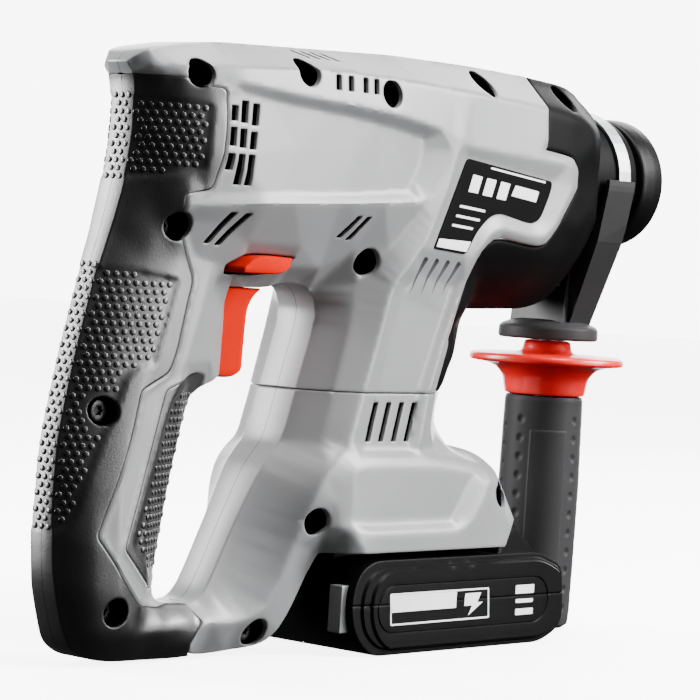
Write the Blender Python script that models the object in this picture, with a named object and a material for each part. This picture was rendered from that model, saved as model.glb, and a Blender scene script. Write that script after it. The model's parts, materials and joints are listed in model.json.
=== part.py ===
"""Cordless D-handle rotary hammer: housings, rubber grips, hammer gearing, motor, switch, battery and side handle.

All lengths below are in millimetres, in a frame whose X runs along the chuck axis, Z is up and Y=0 is the
parting plane of the clamshell housings. The finished objects are moved by SHIFT_X so that the origin is under
the middle of the bounding box.
"""

import math

import bmesh
import bpy
import numpy as np
from mathutils import Vector
from mathutils.geometry import delaunay_2d_cdt

MM = 0.001
SHIFT_X = -6.15
HALF_GAP = 0.15
GAP = 0.35

AXIS_Z = 194.3  # chuck, spindle and hammer mechanism
LAYSHAFT_Z = 162.0
WOBBLE_X = 9.0
MOTOR_Z = 181.0
HANDLE_X = 126.9  # axis of the side handle
SEAM_Z = 102.9  # upper housing meets base on the column
RUBBER = 2.2
WALL = 2.6

# ---------------------------------------------------------------- materials
COLOURS = {
    "grey_plastic": ((0.42, 0.43, 0.44), 0.45, 0.0),
    "black_plastic": ((0.02, 0.02, 0.02), 0.4, 0.0),
    "black_rubber": ((0.015, 0.015, 0.015), 0.7, 0.0),
    "red_gloss": ((0.6, 0.01, 0.01), 0.2, 0.0),
    "orange_plastic": ((0.8, 0.06, 0.01), 0.35, 0.0),
    "steel": ((0.55, 0.56, 0.58), 0.3, 1.0),
    "aluminium": ((0.7, 0.7, 0.72), 0.35, 1.0),
    "copper": ((0.7, 0.35, 0.18), 0.3, 1.0),
    "board": ((0.02, 0.2, 0.06), 0.5, 0.0),
    "cell_wrap": ((0.05, 0.25, 0.5), 0.4, 0.0),
    "label": ((0.01, 0.01, 0.01), 0.3, 0.0),
}


def materials():
    made = {}
    for name, (colour, rough, metal) in COLOURS.items():
        material = bpy.data.materials.new(name)
        material.use_nodes = True
        shader = material.node_tree.nodes["Principled BSDF"]
        shader.inputs["Base Color"].default_value = (*colour, 1.0)
        shader.inputs["Roughness"].default_value = rough
        shader.inputs["Metallic"].default_value = metal
        made[name] = material
    return made


# ---------------------------------------------------------------- basic solids
def add(name, points, faces, material=None):
    """An object from points in millimetres; a closed shape comes out facing outwards."""
    mesh = bpy.data.meshes.new(name)
    mesh.from_pydata([tuple(c * MM for c in p) for p in points], [], faces)
    work = bmesh.new()
    work.from_mesh(mesh)
    bmesh.ops.recalc_face_normals(work, faces=work.faces)
    if work.calc_volume(signed=True) < 0:
        bmesh.ops.reverse_faces(work, faces=work.faces)
    work.to_mesh(mesh)
    work.free()
    made = bpy.data.objects.new(name, mesh)
    bpy.context.scene.collection.objects.link(made)
    if material:
        mesh.materials.append(MATERIALS[material])
    return made


def joined(name, pieces, material=None):
    """Separate closed shapes kept in one mesh, as a cutter with many prongs."""
    points = []
    faces = []
    for piece in pieces:
        start = len(points)
        points += [tuple(v.co) for v in piece.data.vertices]
        faces += [[start + i for i in p.vertices] for p in piece.data.polygons]
        bpy.data.objects.remove(piece)
    mesh = bpy.data.meshes.new(name)
    mesh.from_pydata(points, [], faces)
    made = bpy.data.objects.new(name, mesh)
    bpy.context.scene.collection.objects.link(made)
    if material:
        mesh.materials.append(MATERIALS[material])
    return made


def boolean(target, cutter, operation="DIFFERENCE", keep=False):
    """Applies an exact Boolean at once, and removes the cutter unless it is used again."""
    modifier = target.modifiers.new("cut", "BOOLEAN")
    modifier.solver = "EXACT"
    modifier.operation = operation
    modifier.object = cutter
    bpy.context.view_layer.update()
    graph = bpy.context.evaluated_depsgraph_get()
    result = bpy.data.meshes.new_from_object(target.evaluated_get(graph))
    target.modifiers.remove(modifier)
    target.data = result
    if not keep:
        bpy.data.objects.remove(cutter)
    return target


def copy_of(source, name):
    made = source.copy()
    made.data = source.data.copy()
    made.name = name
    bpy.context.scene.collection.objects.link(made)
    return made


def prism(name, polygon, low, high, axis="y", material=None):
    """A polygon drawn in the two other axes (in x, y, z order), pushed along the axis from low to high."""
    place = {
        "y": lambda a, b, c: (a, c, b),
        "z": lambda a, b, c: (a, b, c),
        "x": lambda a, b, c: (c, a, b),
    }[axis]
    count = len(polygon)
    points = [place(a, b, low) for a, b in polygon] + [place(a, b, high) for a, b in polygon]
    faces = [list(range(count)), list(range(2 * count - 1, count - 1, -1))]
    for i in range(count):
        j = (i + 1) % count
        faces.append([i, i + count, j + count, j])
    return add(name, points, faces, material)


def box(name, low, high, material=None):
    polygon = [(low[0], low[2]), (high[0], low[2]), (high[0], high[2]), (low[0], high[2])]
    return prism(name, polygon, low[1], high[1], "y", material)


def lathe(name, profile, axis, at, steps=32, material=None):
    """A closed profile of (along the axis, radius) turned about an axis through the point at."""
    place = {
        "x": lambda a, u, v: (at[0] + a, at[1] + u, at[2] + v),
        "y": lambda a, u, v: (at[0] + u, at[1] + a, at[2] + v),
        "z": lambda a, u, v: (at[0] + u, at[1] + v, at[2] + a),
    }[axis]
    points = []
    rings = []
    for along, radius in profile:
        if radius < 1e-6:
            rings.append([len(points)] * steps)
            points.append(place(along, 0.0, 0.0))
            continue
        rings.append(list(range(len(points), len(points) + steps)))
        for i in range(steps):
            angle = 2 * math.pi * i / steps
            points.append(place(along, radius * math.cos(angle), radius * math.sin(angle)))
    faces = []
    for k, ring in enumerate(rings):
        after = rings[(k + 1) % len(rings)]
        for i in range(steps):
            j = (i + 1) % steps
            face = []
            for index in (ring[i], ring[j], after[j], after[i]):
                if index not in face:
                    face.append(index)
            if len(face) > 2:
                faces.append(face)
    return add(name, points, faces, material)


def rod(name, radius, low, high, axis, at, steps=24, material=None):
    return lathe(name, [(low, 0), (low, radius), (high, radius), (high, 0)], axis, at, steps, material)


def ring(name, inner, outer, low, high, axis, at, steps=32, material=None):
    profile = [(low, inner), (low, outer), (high, outer), (high, inner)]
    return lathe(name, profile, axis, at, steps, material)


def rounded(low, high, radius, steps=3):
    """Corners of a rectangle rounded off, as a polygon."""
    corners = [
        (high[0] - radius, low[1] + radius, -90),
        (high[0] - radius, high[1] - radius, 0),
        (low[0] + radius, high[1] - radius, 90),
        (low[0] + radius, low[1] + radius, 180),
    ]
    polygon = []
    for x, y, start in corners:
        for i in range(steps + 1):
            angle = math.radians(start + 90 * i / steps)
            polygon.append((x + radius * math.cos(angle), y + radius * math.sin(angle)))
    return polygon


# ---------------------------------------------------------------- height fields
def height_of(points, triangles, x, z):
    """Half-width at (x, z) on the triangulated field, or that of the nearest point outside it."""
    for a, b, c in triangles:
        (ax, az, ah), (bx, bz, bh), (cx, cz, ch) = points[a], points[b], points[c]
        area = (bx - ax) * (cz - az) - (cx - ax) * (bz - az)
        if abs(area) < 1e-9:
            continue
        s = ((x - ax) * (cz - az) - (cx - ax) * (z - az)) / area
        t = ((bx - ax) * (z - az) - (x - ax) * (bz - az)) / area
        if s > -1e-6 and t > -1e-6 and s + t < 1 + 1e-6:
            return ah + s * (bh - ah) + t * (ch - ah)
    nearest = min(points, key=lambda p: (p[0] - x) ** 2 + (p[1] - z) ** 2)
    return nearest[2]


def inside(polygon, x, z):
    odd = False
    for i, (ax, az, *_) in enumerate(polygon):
        bx, bz, *_ = polygon[i - 1]
        if (az > z) != (bz > z) and x < (bx - ax) * (z - az) / (bz - az) + ax:
            odd = not odd
    return odd


def edge_distance(polygon, x, z):
    best = 1e9
    for i, (ax, az, *_) in enumerate(polygon):
        bx, bz, *_ = polygon[i - 1]
        length = (bx - ax) ** 2 + (bz - az) ** 2
        t = max(0.0, min(1.0, ((x - ax) * (bx - ax) + (z - az) * (bz - az)) / max(length, 1e-12)))
        best = min(best, math.hypot(x - ax - t * (bx - ax), z - az - t * (bz - az)))
    return best


def triangulated(loop, inner, creases=()):
    """Points and triangles of a constrained triangulation of the loop with inner points and crease lines."""
    points = [Vector((x, z)) for x, z, _ in loop]
    heights = [h for _, _, h in loop]
    edges = [(i, (i + 1) % len(loop)) for i in range(len(loop))]
    for line in creases:
        for k, (x, z, h) in enumerate(line):
            points.append(Vector((x, z)))
            heights.append(h)
            if k:
                edges.append((len(points) - 2, len(points) - 1))
    for x, z, h in inner:
        points.append(Vector((x, z)))
        heights.append(h)
    out, _, faces, came, _, _ = delaunay_2d_cdt(points, edges, [], 1, 1e-4)
    field = []
    for k, point in enumerate(out):
        if came[k]:
            field.append((point.x, point.y, heights[came[k][0]]))
        else:
            field.append((point.x, point.y, None))
    known = [p for p in field if p[2] is not None]
    for k, (x, z, h) in enumerate(field):
        if h is None:
            near = sorted(known, key=lambda p: (p[0] - x) ** 2 + (p[1] - z) ** 2)[:2]
            field[k] = (x, z, (near[0][2] + near[1][2]) / 2)
    flat = [(x, z) for x, z, _ in loop]
    triangles = []
    for face in faces:
        cx = sum(field[i][0] for i in face) / len(face)
        cz = sum(field[i][1] for i in face) / len(face)
        if inside(flat, cx, cz):
            triangles.append(tuple(face))
    return field, triangles


def field_solid(name, loop, inner, creases=(), side=-1, near=HALF_GAP, material=None, double=False):
    """Solid between the field and the parting plane, or between the field and its mirror when double."""
    field, triangles = triangulated(loop, inner, creases)
    count = len(field)
    points = [(x, side * h, z) for x, z, h in field]
    if double:
        points += [(x, -side * h, z) for x, z, h in field]
    else:
        points += [(x, side * near, z) for x, z, h in field]
    faces = [list(t) for t in triangles] + [[i + count for i in reversed(t)] for t in triangles]
    used = {}
    for t in triangles:
        for i in range(len(t)):
            edge = (t[i], t[(i + 1) % len(t)])
            used[edge] = used.get(edge, 0) + 1
    for a, b in used:
        if (b, a) not in used:
            faces.append([b, a, a + count, b + count])
    keep = sorted({i for face in faces for i in face})
    place = {old: new for new, old in enumerate(keep)}
    return add(name, [points[i] for i in keep], [[place[i] for i in face] for face in faces], material)


def offset_path(path, distance):
    """An open path moved to its left by a distance, with mitred corners."""
    moved = []
    for i, (x, z, *_) in enumerate(path):
        normals = []
        for j in (i - 1, i):
            if 0 <= j < len(path) - 1:
                dx = path[j + 1][0] - path[j][0]
                dz = path[j + 1][1] - path[j][1]
                length = math.hypot(dx, dz)
                normals.append((-dz / length, dx / length))
        nx = sum(n[0] for n in normals)
        nz = sum(n[1] for n in normals)
        size = math.hypot(nx, nz)
        nx, nz = nx / size, nz / size
        stretch = 1 / max(0.5, nx * normals[0][0] + nz * normals[0][1])
        moved.append((x + nx * distance * stretch, z + nz * distance * stretch))
    return moved


# ---------------------------------------------------------------- outlines (x, z, half-width)
REAR_PATH = [
    (-139.5, 221.5, 5), (-136.0, 215.0, 5), (-135.1, 198.0, 5), (-137.6, 180.0, 5), (-143.5, 158.0, 4.5),
    (-147.6, 146.0, 4), (-156.0, 114.0, 4), (-162.4, 83.0, 4), (-163.3, 51.0, 4), (-161.4, 30.0, 4),
    (-154.5, 9.0, 5), (-146.5, 3.5, 5), (-134.0, 1.2, 6), (-103.5, 1.0, 8), (-92.0, 1.2, 8),
]
FRONT_PATH = [
    (-95.5, 21.2, 8), (-110.0, 22.3, 8), (-113.5, 26.0, 8), (-113.0, 32.0, 8), (-110.5, 47.0, 8),
    (-107.5, 65.0, 8), (-102.5, 87.0, 8), (-99.5, 98.0, 8), (-96.0, 102.5, 8.5), (-88.0, 105.3, 9),
    (-84.5, 107.5, 8.5),
]
UNDER_PATH = [
    (-84.3, 141.2, 8.5), (-62.0, 141.3, 9), (-56.0, 143.8, 10), (-46.0, 143.8, 10), (-38.0, 141.5, 9.5),
    (-34.4, 135.0, 9.5), (-34.9, 128.0, 9.5), (-43.2, SEAM_Z, 9.5),
]
SEAM_PATH = [
    (-35.2, SEAM_Z, 22), (-24.3, SEAM_Z, 29), (-15.8, SEAM_Z, 28.3), (8.5, SEAM_Z, 28.3),
    (13.5, SEAM_Z, 30.5), (19.2, SEAM_Z, 28.5),
]
BEZEL_PATH = [
    (26.0, 125.0, 29), (32.5, 148.0, 31), (35.2, 159.1, 35), (41.0, 164.5, 35.5), (47.3, 166.5, 35.5),
    (70.6, 163.9, 35.5), (77.0, 165.0, 35.5), (84.0, 171.5, 35.5), (96.3, 189.0, 35.5), (96.3, 197.0, 35.5),
    (92.2, 202.2, 35.5), (73.7, 203.9, 35.5), (76.5, 221.0, 32), (79.7, 234.3, 16),
]
TOP_PATH = [
    (43.0, 235.4, 16), (-6.0, 235.6, 16), (-28.0, 234.7, 15), (-58.0, 233.6, 14), (-105.0, 231.8, 13),
    (-134.0, 226.8, 10),
]
BAR_SEAM = [(-97.0, 6.0, 14), (-91.5, 15.0, 14.5)]
UPPER_LOOP = REAR_PATH + BAR_SEAM + FRONT_PATH + UNDER_PATH + SEAM_PATH + BEZEL_PATH + TOP_PATH

CHAMFER = [
    (-136.5, 219.5, 6), (-122.5, 221.0, 19), (-100.0, 222.5, 25), (-71.0, 224.5, 28.5), (-45.3, 225.6, 30.5),
    (-17.5, 225.0, 32), (25.0, 223.5, 33), (76.5, 221.0, 32),
]
BAND_LOWER = [
    (-108.0, 217.0, 24), (-99.4, 217.4, 26.5), (-71.8, 214.4, 30.5), (-46.0, 213.0, 33), (-20.0, 211.0, 34.5),
    (5.0, 207.5, 35.2), (12.5, 205.0, 35.5), (13.0, 197.4, 35.6), (10.0, 191.0, 35.4), (0.0, 178.6, 34.5),
    (-44.0, 175.5, 33.3), (-88.6, 173.1, 31.0), (-119.0, 170.5, 22.5),
]
PANEL = [
    (-97.0, 213.5, 26.5), (-71.0, 210.8, 29.3), (-45.0, 209.0, 31), (-18.0, 206.0, 32), (-1.5, 203.5, 32.3),
    (-1.8, 194.6, 32.3), (-9.0, 182.3, 32), (-42.0, 179.3, 31.6), (-86.7, 177.0, 29.8), (-112.0, 174.5, 24),
]
STRIP_REAR = [
    (18.0, 204.3, 36), (14.8, 197.5, 36), (10.8, 184.0, 36), (3.5, 167.8, 35), (-6.7, 152.8, 33),
    (-13.6, 144.2, 31), (-18.6, 121.6, 29.5), (-24.3, SEAM_Z, 29),
]
RIM = [
    (19.5, 202.0, 36), (73.0, 199.0, 36.2), (86.5, 198.5, 36.2), (91.5, 195.5, 36.2), (91.5, 190.0, 36.2),
    (80.5, 172.5, 36.2), (74.5, 168.3, 36.2), (68.0, 167.5, 36.2), (46.5, 170.2, 36.2), (39.5, 168.3, 36),
    (33.5, 162.0, 36), (29.0, 148.5, 32.5), (20.8, 125.3, 31), (13.5, SEAM_Z, 30.5),
]
LABEL = [
    (22.6, 197.7), (79.0, 191.5), (78.5, 187.0), (72.5, 175.0), (67.0, 172.6), (46.0, 176.0), (39.5, 174.4),
    (32.0, 168.0), (26.0, 158.5), (5.0, 160.0),
]
LABEL_HALF = 34.2
COLUMN_PANEL = [(-4.8, 145.0, 29.8), (-11.0, 122.0, 28.9), (-15.8, SEAM_Z, 28.3)]
COLUMN_FRONT = [(23.5, 145.5, 29.8), (16.5, 125.7, 28.9), (8.5, SEAM_Z, 28.3)]
COLUMN_REAR = [(-22.0, 150.0, 22.5), (-25.3, 141.9, 21.5), (-28.9, 125.1, 22), (-35.2, SEAM_Z, 22)]
UPPER_POINTS = [
    (-110, 152, 17.5), (-88, 158, 22), (-88, 148, 17), (-62, 158, 25.5), (-62, 150, 20), (-44, 150, 19),
    (-30, 158, 24.5), (-12.3, 160.5, 28.5), (-15.9, 152.4, 26.5), (2, 150, 31),
    (-132, 150, 13), (-120, 150, 17), (-100, 150, 17.5), (-139, 130, 13), (-127, 130, 17), (-106, 130, 18),
    (-91, 132, 14), (-143.5, 114, 13), (-131, 114, 17), (-112, 112, 18), (-95, 113, 14), (-149, 90, 13),
    (-138, 90, 17), (-120, 90, 17), (-108, 90, 12), (-152, 66, 13.5), (-141, 66, 17.5), (-124, 66, 16.5),
    (-113, 66, 11.5), (-152, 45, 14.5), (-141, 45, 18), (-126, 45, 17), (-116, 46, 11.5), (-150, 28, 15),
    (-139, 28, 18), (-124, 30, 16.5), (-146, 13, 14.5), (-130, 12, 17), (-112, 13, 16), (-100, 15, 15),
    (-140, 6.5, 12), (-110, 6.5, 13), (-128, 165, 15), (-121, 165, 19), (-105, 165, 23), (-130, 190, 12),
    (-122, 190, 19.5), (-113, 190, 25), (-103, 190, 27.3), (-129, 208, 12), (-121, 208, 19), (-110, 208, 24.3),
    (-131, 177, 12.5), (-70, 195, 30), (-40, 195, 31.6), (-112, 140, 17.5),
]

RUBBER_INNER = [
    (-97.3, 6.0), (-91.8, 14.9), (-95.8, 24.0), (-111.3, 20.8), (-127.4, 22.6), (-138.3, 33.9), (-149.5, 48.5),
    (-143.2, 66.6), (-136.8, 84.4), (-133.2, 101.9), (-120.0, 108.5), (-116.7, 117.2), (-112.5, 136.1),
    (-110.4, 142.8), (-115.1, 152.5), (-120.7, 162.5), (-120.7, 174.6), (-110.5, 176.7), (-107.4, 189.3),
    (-105.6, 204.2), (-106.0, 212.6), (-108.0, 214.4), (-112.0, 214.4), (-122.4, 217.1), (-150.0, 217.1),
]
FRONT_INSERT = [
    (-103.0, 108.9), (-95.5, 107.6), (-93.6, 101.0), (-85.0, 99.0), (-85.0, 29.5), (-121.7, 28.4), (-137.6, 44.0), (-129.9, 67.1),
    (-120.8, 102.3),
]
COVER_LOOP = [
    (-43.3, 102.5, 9.5), (-49.3, 83.0, 9.5), (-55.0, 77.5, 9.5), (-60.0, 72.0, 9), (-70.7, 52.6, 8),
    (-84.0, 27.0, 8), (-89.0, 22.0, 8), (-95.1, 21.0, 8), (-91.1, 15.0, 14.5), (-96.6, 6.0, 14),
    (-91.6, 1.2, 8), (-70.0, 2.2, 9), (-58.0, 4.4, 14), (-52.7, 9.8, 17), (-48.1, 16.6, 18),
    (-40.3, 31.1, 19), (-37.5, 40.0, 22), (-33.0, 40.8, 33), (-26.0, 40.8, 37), (60.0, 40.8, 37),
    (68.5, 51.5, 34), (63.0, 72.0, 26), (58.0, 78.5, 18), (47.0, 81.0, 9.5), (42.5, 90.0, 9),
    (42.8, 96.0, 9), (44.6, 102.5, 9), (20.5, 102.5, 28), (13.3, 102.5, 30.5), (8.4, 102.5, 28.3),
    (-16.0, 102.5, 28.3), (-24.4, 102.5, 29), (-35.3, 102.5, 22),
]
BASE_POINTS = [
    (-36.5, 97, 22), (-41.5, 81.7, 22), (-26, 97, 29), (-32.0, 81.0, 29.5), (-17, 97, 28.3),
    (-22.5, 81.5, 28.8), (7.0, 97, 28.3), (4.7, 81.5, 28.8), (9.5, 81.5, 30.8), (17, 82, 29),
    (-38.5, 77.8, 29.5), (-20, 79.0, 31.5), (15.9, 79.0, 31.5), (37, 79, 24), (50, 77, 24),
    (-28, 75.8, 34.2), (18.3, 75.3, 34.2), (43.7, 72, 34.2), (50, 66.5, 36), (-35.0, 72, 32.5),
    (-32.9, 51.5, 34), (-22.5, 51.5, 34.2), (27.4, 51.5, 34.2), (35.5, 50.8, 36.8), (-30, 48, 36),
    (-22, 48.5, 37), (28, 48.5, 37), (56, 66, 35.5), (60, 51.5, 36.8), (40, 66, 34.2),
    (-46.5, 68.5, 29.0), (-51.0, 54.0, 26), (-55.0, 36.0, 22), (-61.7, 21.0, 19.3), (-69.2, 15.1, 17.2),
    (-78.0, 14.2, 16), (-38.0, 59.0, 31), (-41.0, 47.8, 26), (-80, 7, 13), (30, 95, 19), (32, 86, 19),
]
GEAR_LOOP = [
    (80.1, 234.1, 16), (76.9, 221.0, 32), (74.1, 204.3, 34), (92.5, 202.7, 34), (96.8, 197.3, 33.8),
    (96.8, 188.8, 33.8), (84.4, 171.1, 33.8), (77.3, 164.5, 33.8), (70.6, 163.4, 33.8), (47.3, 166.0, 33.8),
    (41.3, 164.0, 33), (35.7, 158.7, 31), (33.0, 148.0, 28.5), (26.5, 125.0, 27), (20.0, 103.3, 27),
    (44.4, 103.3, 8), (49.5, 118.0, 8), (56.0, 136.5, 8), (96.0, 137.6, 8), (106.0, 140.0, 9),
    (115.0, 147.0, 12), (118.5, 160.0, 20), (118.5, 176.0, 28), (118.5, 212.0, 28), (118.5, 222.0, 22),
    (116.0, 230.0, 13), (108.0, 232.6, 14),
]
GEAR_POINTS = [
    (103, 220.5, 30.5), (110, 212, 32.5), (110, 180, 32.5), (101, 174, 33.5), (50, 158, 31.0), (80, 158, 31.5),
    (106, 163, 29), (45, 149, 25.5), (75, 150, 26), (102, 152, 23), (55, 142, 17.5), (78, 142, 18),
    (100, 144, 16.5), (38, 133, 21.5), (34, 115, 20.5),
]

SCREWS = {
    "screw_rear_top": (-116.2, 219.1), "screw_top_middle": (-66.3, 223.5), "screw_top_vent": (-22.5, 219.0),
    "screw_grip_upper": (-120.7, 162.5), "screw_column": (-22.7, 153.6), "screw_grip_middle": (-147.5, 94.0),
    "screw_grip_lower": (-139.1, 20.8), "screw_arm_upper": (-45.3, 52.8), "screw_arm_lower": (-63.4, 9.6),
    "screw_foot_front": (59.0, 62.0), "screw_top_front": (41.3, 228.0), "screw_gear_housing": (98.3, 226.5),
}
HEAD_Y = 8.0
KNOB_AT = (58.0, 0.0, 184.5)


def label_creases():
    return [(x, z, LABEL_HALF) for x, z in LABEL + LABEL[:1]]


def upper_field():
    creases = [CHAMFER, BAND_LOWER, PANEL, STRIP_REAR, RIM, label_creases()]
    creases += [COLUMN_PANEL, COLUMN_FRONT, COLUMN_REAR]
    return creases


def lowered(loop, field, thickness, floor=1.5):
    """Loop points with the half-width of the field there, less a thickness."""
    points, triangles = field
    return [(x, z, max(floor, height_of(points, triangles, x, z) - thickness(x, z))) for x, z in loop]


def lowered_points(loop, field, thickness, apart=0.8):
    """Field points that fall well inside a loop, less a thickness."""
    points, _ = field
    kept = []
    for x, z, h in points:
        if inside(loop, x, z) and edge_distance(loop, x, z) > apart:
            kept.append((x, z, max(1.5, h - thickness(x, z))))
    return kept


def lowered_solid(name, loop, field, thickness, side, near):
    inner = lowered_points(loop, field, thickness)
    return field_solid(name, lowered(loop, field, thickness), inner, side=side, near=near)


# ---------------------------------------------------------------- screw bosses
def boss_rods(names, side, low, high, radius=6.8):
    pieces = []
    for name in names:
        x, z = SCREWS[name]
        ends = sorted((side * low, side * high))
        pieces.append(rod("boss", radius, ends[0], ends[1], "y", (x, 0, z), 10))
    return joined("bosses", pieces)


def screw_holes(names, side):
    """Counterbores and shank holes on the right, blind pilot holes on the left."""
    pieces = []
    for name in names:
        x, z = SCREWS[name]
        if side < 0:
            profile = [(-60, 0), (-60, 5.2), (-HEAD_Y, 5.2), (-HEAD_Y, 2.3), (1, 2.3), (1, 0)]
        else:
            profile = [(-1, 0), (-1, 2.3), (11, 2.3), (11, 0)]
        pieces.append(lathe("hole", profile, "y", (x, 0, z), 10))
    return joined("holes", pieces)


def screws():
    for name, (x, z) in SCREWS.items():
        profile = [(-HEAD_Y - 3.2, 0), (-HEAD_Y - 3.2, 3.0), (-HEAD_Y - 2.4, 4.0), (-HEAD_Y - GAP, 4.0)]
        profile += [(-HEAD_Y - GAP, 1.9), (9.5, 1.9), (10.5, 0)]
        lathe(name, profile, "y", (x, 0, z), 8, "steel")


# ---------------------------------------------------------------- housings
def handle_zone(x, z):
    return x < -101 or (x < -84 and z < 120)


def cavity_depth(x, z):
    return RUBBER + WALL if handle_zone(x, z) else WALL


def rubber_depth(extra):
    return lambda x, z: RUBBER + extra


def skin_loop(extra):
    """Boundary of the housing under the rubber: set in at the back, bottom and front of the handle."""
    rear = offset_path(REAR_PATH, RUBBER + extra)
    front = offset_path(FRONT_PATH, RUBBER + extra)
    return rear + [(-70.0, 3.4), (-70.0, 19.0)] + front + [(-75.0, 110.0), (-75.0, 229.0), (-128.0, 228.0)]


def upper_cavity_loop():
    rear = offset_path(REAR_PATH[1:], RUBBER + WALL)
    front = offset_path(FRONT_PATH, RUBBER + WALL)[:-1]
    under = offset_path(UNDER_PATH, WALL)
    top = offset_path(TOP_PATH, WALL)
    loop = rear[:-1] + [(-70.0, 5.8), (-70.0, 16.6)] + front + [(-88.5, 111.0), (-88.5, 143.8)] + under[1:-1]
    loop += [(-40.4, 104.0), (-41.2, 96.0), (50.0, 96.0), (50.0, 150.0), (120.0, 150.0), (120.0, 212.0)]
    return loop + [(66.0, 212.0), (66.0, 230.5)] + top[1:-1] + [(-129.5, 222.5)]


def upper_housing(side, word):
    creases = upper_field()
    field = triangulated(UPPER_LOOP, UPPER_POINTS, creases)
    names = [n for n in SCREWS if n not in LOWER_SCREWS and n != "screw_gear_housing"]
    body = field_solid("housing_" + word, UPPER_LOOP, UPPER_POINTS, creases, side, material="grey_plastic")
    hollow = lowered_solid("hollow", upper_cavity_loop(), field, cavity_depth, side, -1.0)
    boolean(hollow, boss_rods(names, side, -3, 50))
    boolean(body, hollow)
    rubber_zone = REAR_ZONE + RUBBER_INNER
    for k, zone in enumerate((rubber_zone, FRONT_INSERT)):
        ends = sorted((-side * 2.0, side * 60.0))
        cutter = prism("zone", zone, ends[0], ends[1])
        boolean(cutter, lowered_solid("skin", skin_loop(GAP), field, rubber_depth(GAP), side, -3.0))
        boolean(body, cutter)
    boolean(body, screw_holes(names, side))
    return body, field


REAR_ZONE = [(-175.0, 217.1), (-175.0, -6.0), (-92.0, -6.0), (-92.3, 1.2)]
LOWER_SCREWS = ("screw_arm_upper", "screw_arm_lower", "screw_foot_front")
GRIP_SCREWS = ("screw_rear_top", "screw_grip_upper", "screw_grip_middle", "screw_grip_lower")


def shrunk(polygon, distance):
    """A closed polygon set in by a distance, whichever way round it runs."""
    area = sum(a[0] * b[1] - b[0] * a[1] for a, b in zip(polygon, polygon[1:] + polygon[:1]))
    around = [polygon[-1]] + list(polygon) + [polygon[0]]
    return offset_path(around, distance if area > 0 else -distance)[1:-1]


def rubber_grips(side, word, field, creases):
    rubber = field_solid("grip_rubber_" + word, UPPER_LOOP, UPPER_POINTS, creases, side, material="black_rubber")
    insert = copy_of(rubber, "grip_front_" + word)
    skin = lowered_solid("skin", skin_loop(0.0), field, rubber_depth(0.0), side, -3.0)
    ends = sorted((-side * 2.0, side * 60.0))
    for piece, zone in ((rubber, REAR_ZONE + RUBBER_INNER), (insert, FRONT_INSERT)):
        keep = prism("zone", shrunk(zone, GAP), ends[0], ends[1])
        boolean(piece, keep, "INTERSECT")
        boolean(piece, skin, keep=True)
    bpy.data.objects.remove(skin)
    if side < 0:
        boolean(rubber, screw_holes(GRIP_SCREWS, side))
    return rubber, insert


def base_housing(side, word):
    field = triangulated(COVER_LOOP, BASE_POINTS)
    body = field_solid("base_" + word, COVER_LOOP, BASE_POINTS, (), side, material="grey_plastic")
    loop = [
        (-40.4, 110.0), (-46.4, 84.0), (-52.7, 79.6), (-57.6, 73.2), (-68.2, 53.8), (-81.9, 28.5),
        (-87.9, 19.3), (-105.0, 18.0), (-105.0, 4.2), (-70.0, 5.2), (-59.4, 7.4), (-55.2, 11.2),
        (-50.6, 17.9), (-43.2, 31.9), (-40.6, 42.5), (-30.0, 43.4), (-30.0, 35.0), (57.0, 35.0),
        (57.5, 44.0), (65.4, 52.0), (60.4, 71.0), (56.5, 76.0), (45.5, 78.6), (39.8, 89.8),
        (40.0, 96.6), (41.5, 110.0),
    ]
    hollow = lowered_solid("hollow", loop, field, lambda x, z: WALL, side, -1.0)
    boolean(hollow, boss_rods(LOWER_SCREWS, side, -3, 50, 6.3))
    boolean(body, hollow)
    boolean(body, box("nose", (57.0, -24.0, 38.0), (75.0, 24.0, 51.0)))
    boolean(body, screw_holes(LOWER_SCREWS, side))
    return body


def gear_housing():
    body = field_solid("gear_housing", GEAR_LOOP, GEAR_POINTS, material="black_plastic", double=True)
    neck = rod("neck", 28.3, 112.0, 146.0, "x", (0, 0, AXIS_Z), 40)
    boolean(body, neck, "UNION")
    field = triangulated(GEAR_LOOP, GEAR_POINTS)
    loop = [
        (0.0, 231.0), (0.0, 96.0), (41.2, 96.0), (46.8, 118.7), (53.8, 139.7), (95.5, 140.8), (104.8, 143.2),
        (112.4, 149.5), (115.4, 161.0), (115.4, 221.0), (113.0, 227.4), (107.5, 229.5),
    ]
    inner = lowered_points(loop, field, lambda x, z: 3.0)
    hollow = field_solid("hollow", lowered(loop, field, lambda x, z: 3.0), inner, double=True)
    boolean(hollow, rod("boss", 6.0, -50, 50, "y", (98.3, 0, 226.5), 10))
    boolean(body, hollow)
    x, z = SCREWS["screw_gear_housing"]
    profile = [(-60, 0), (-60, 5.2), (-HEAD_Y, 5.2), (-HEAD_Y, 2.3), (11, 2.3), (11, 0)]
    boolean(body, lathe("hole", profile, "y", (x, 0, z), 10))
    profile = [(100, 0), (100, 21.4), (136, 21.4), (136, 14.6), (150, 14.6), (150, 0)]
    boolean(body, lathe("bore", profile, "x", (0, 0, AXIS_Z), 28))
    return body


def nameplate():
    outline = shrunk(LABEL, 0.8)
    prism("nameplate", outline, -LABEL_HALF - 0.55, -LABEL_HALF - 0.05, "y", "label")


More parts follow.
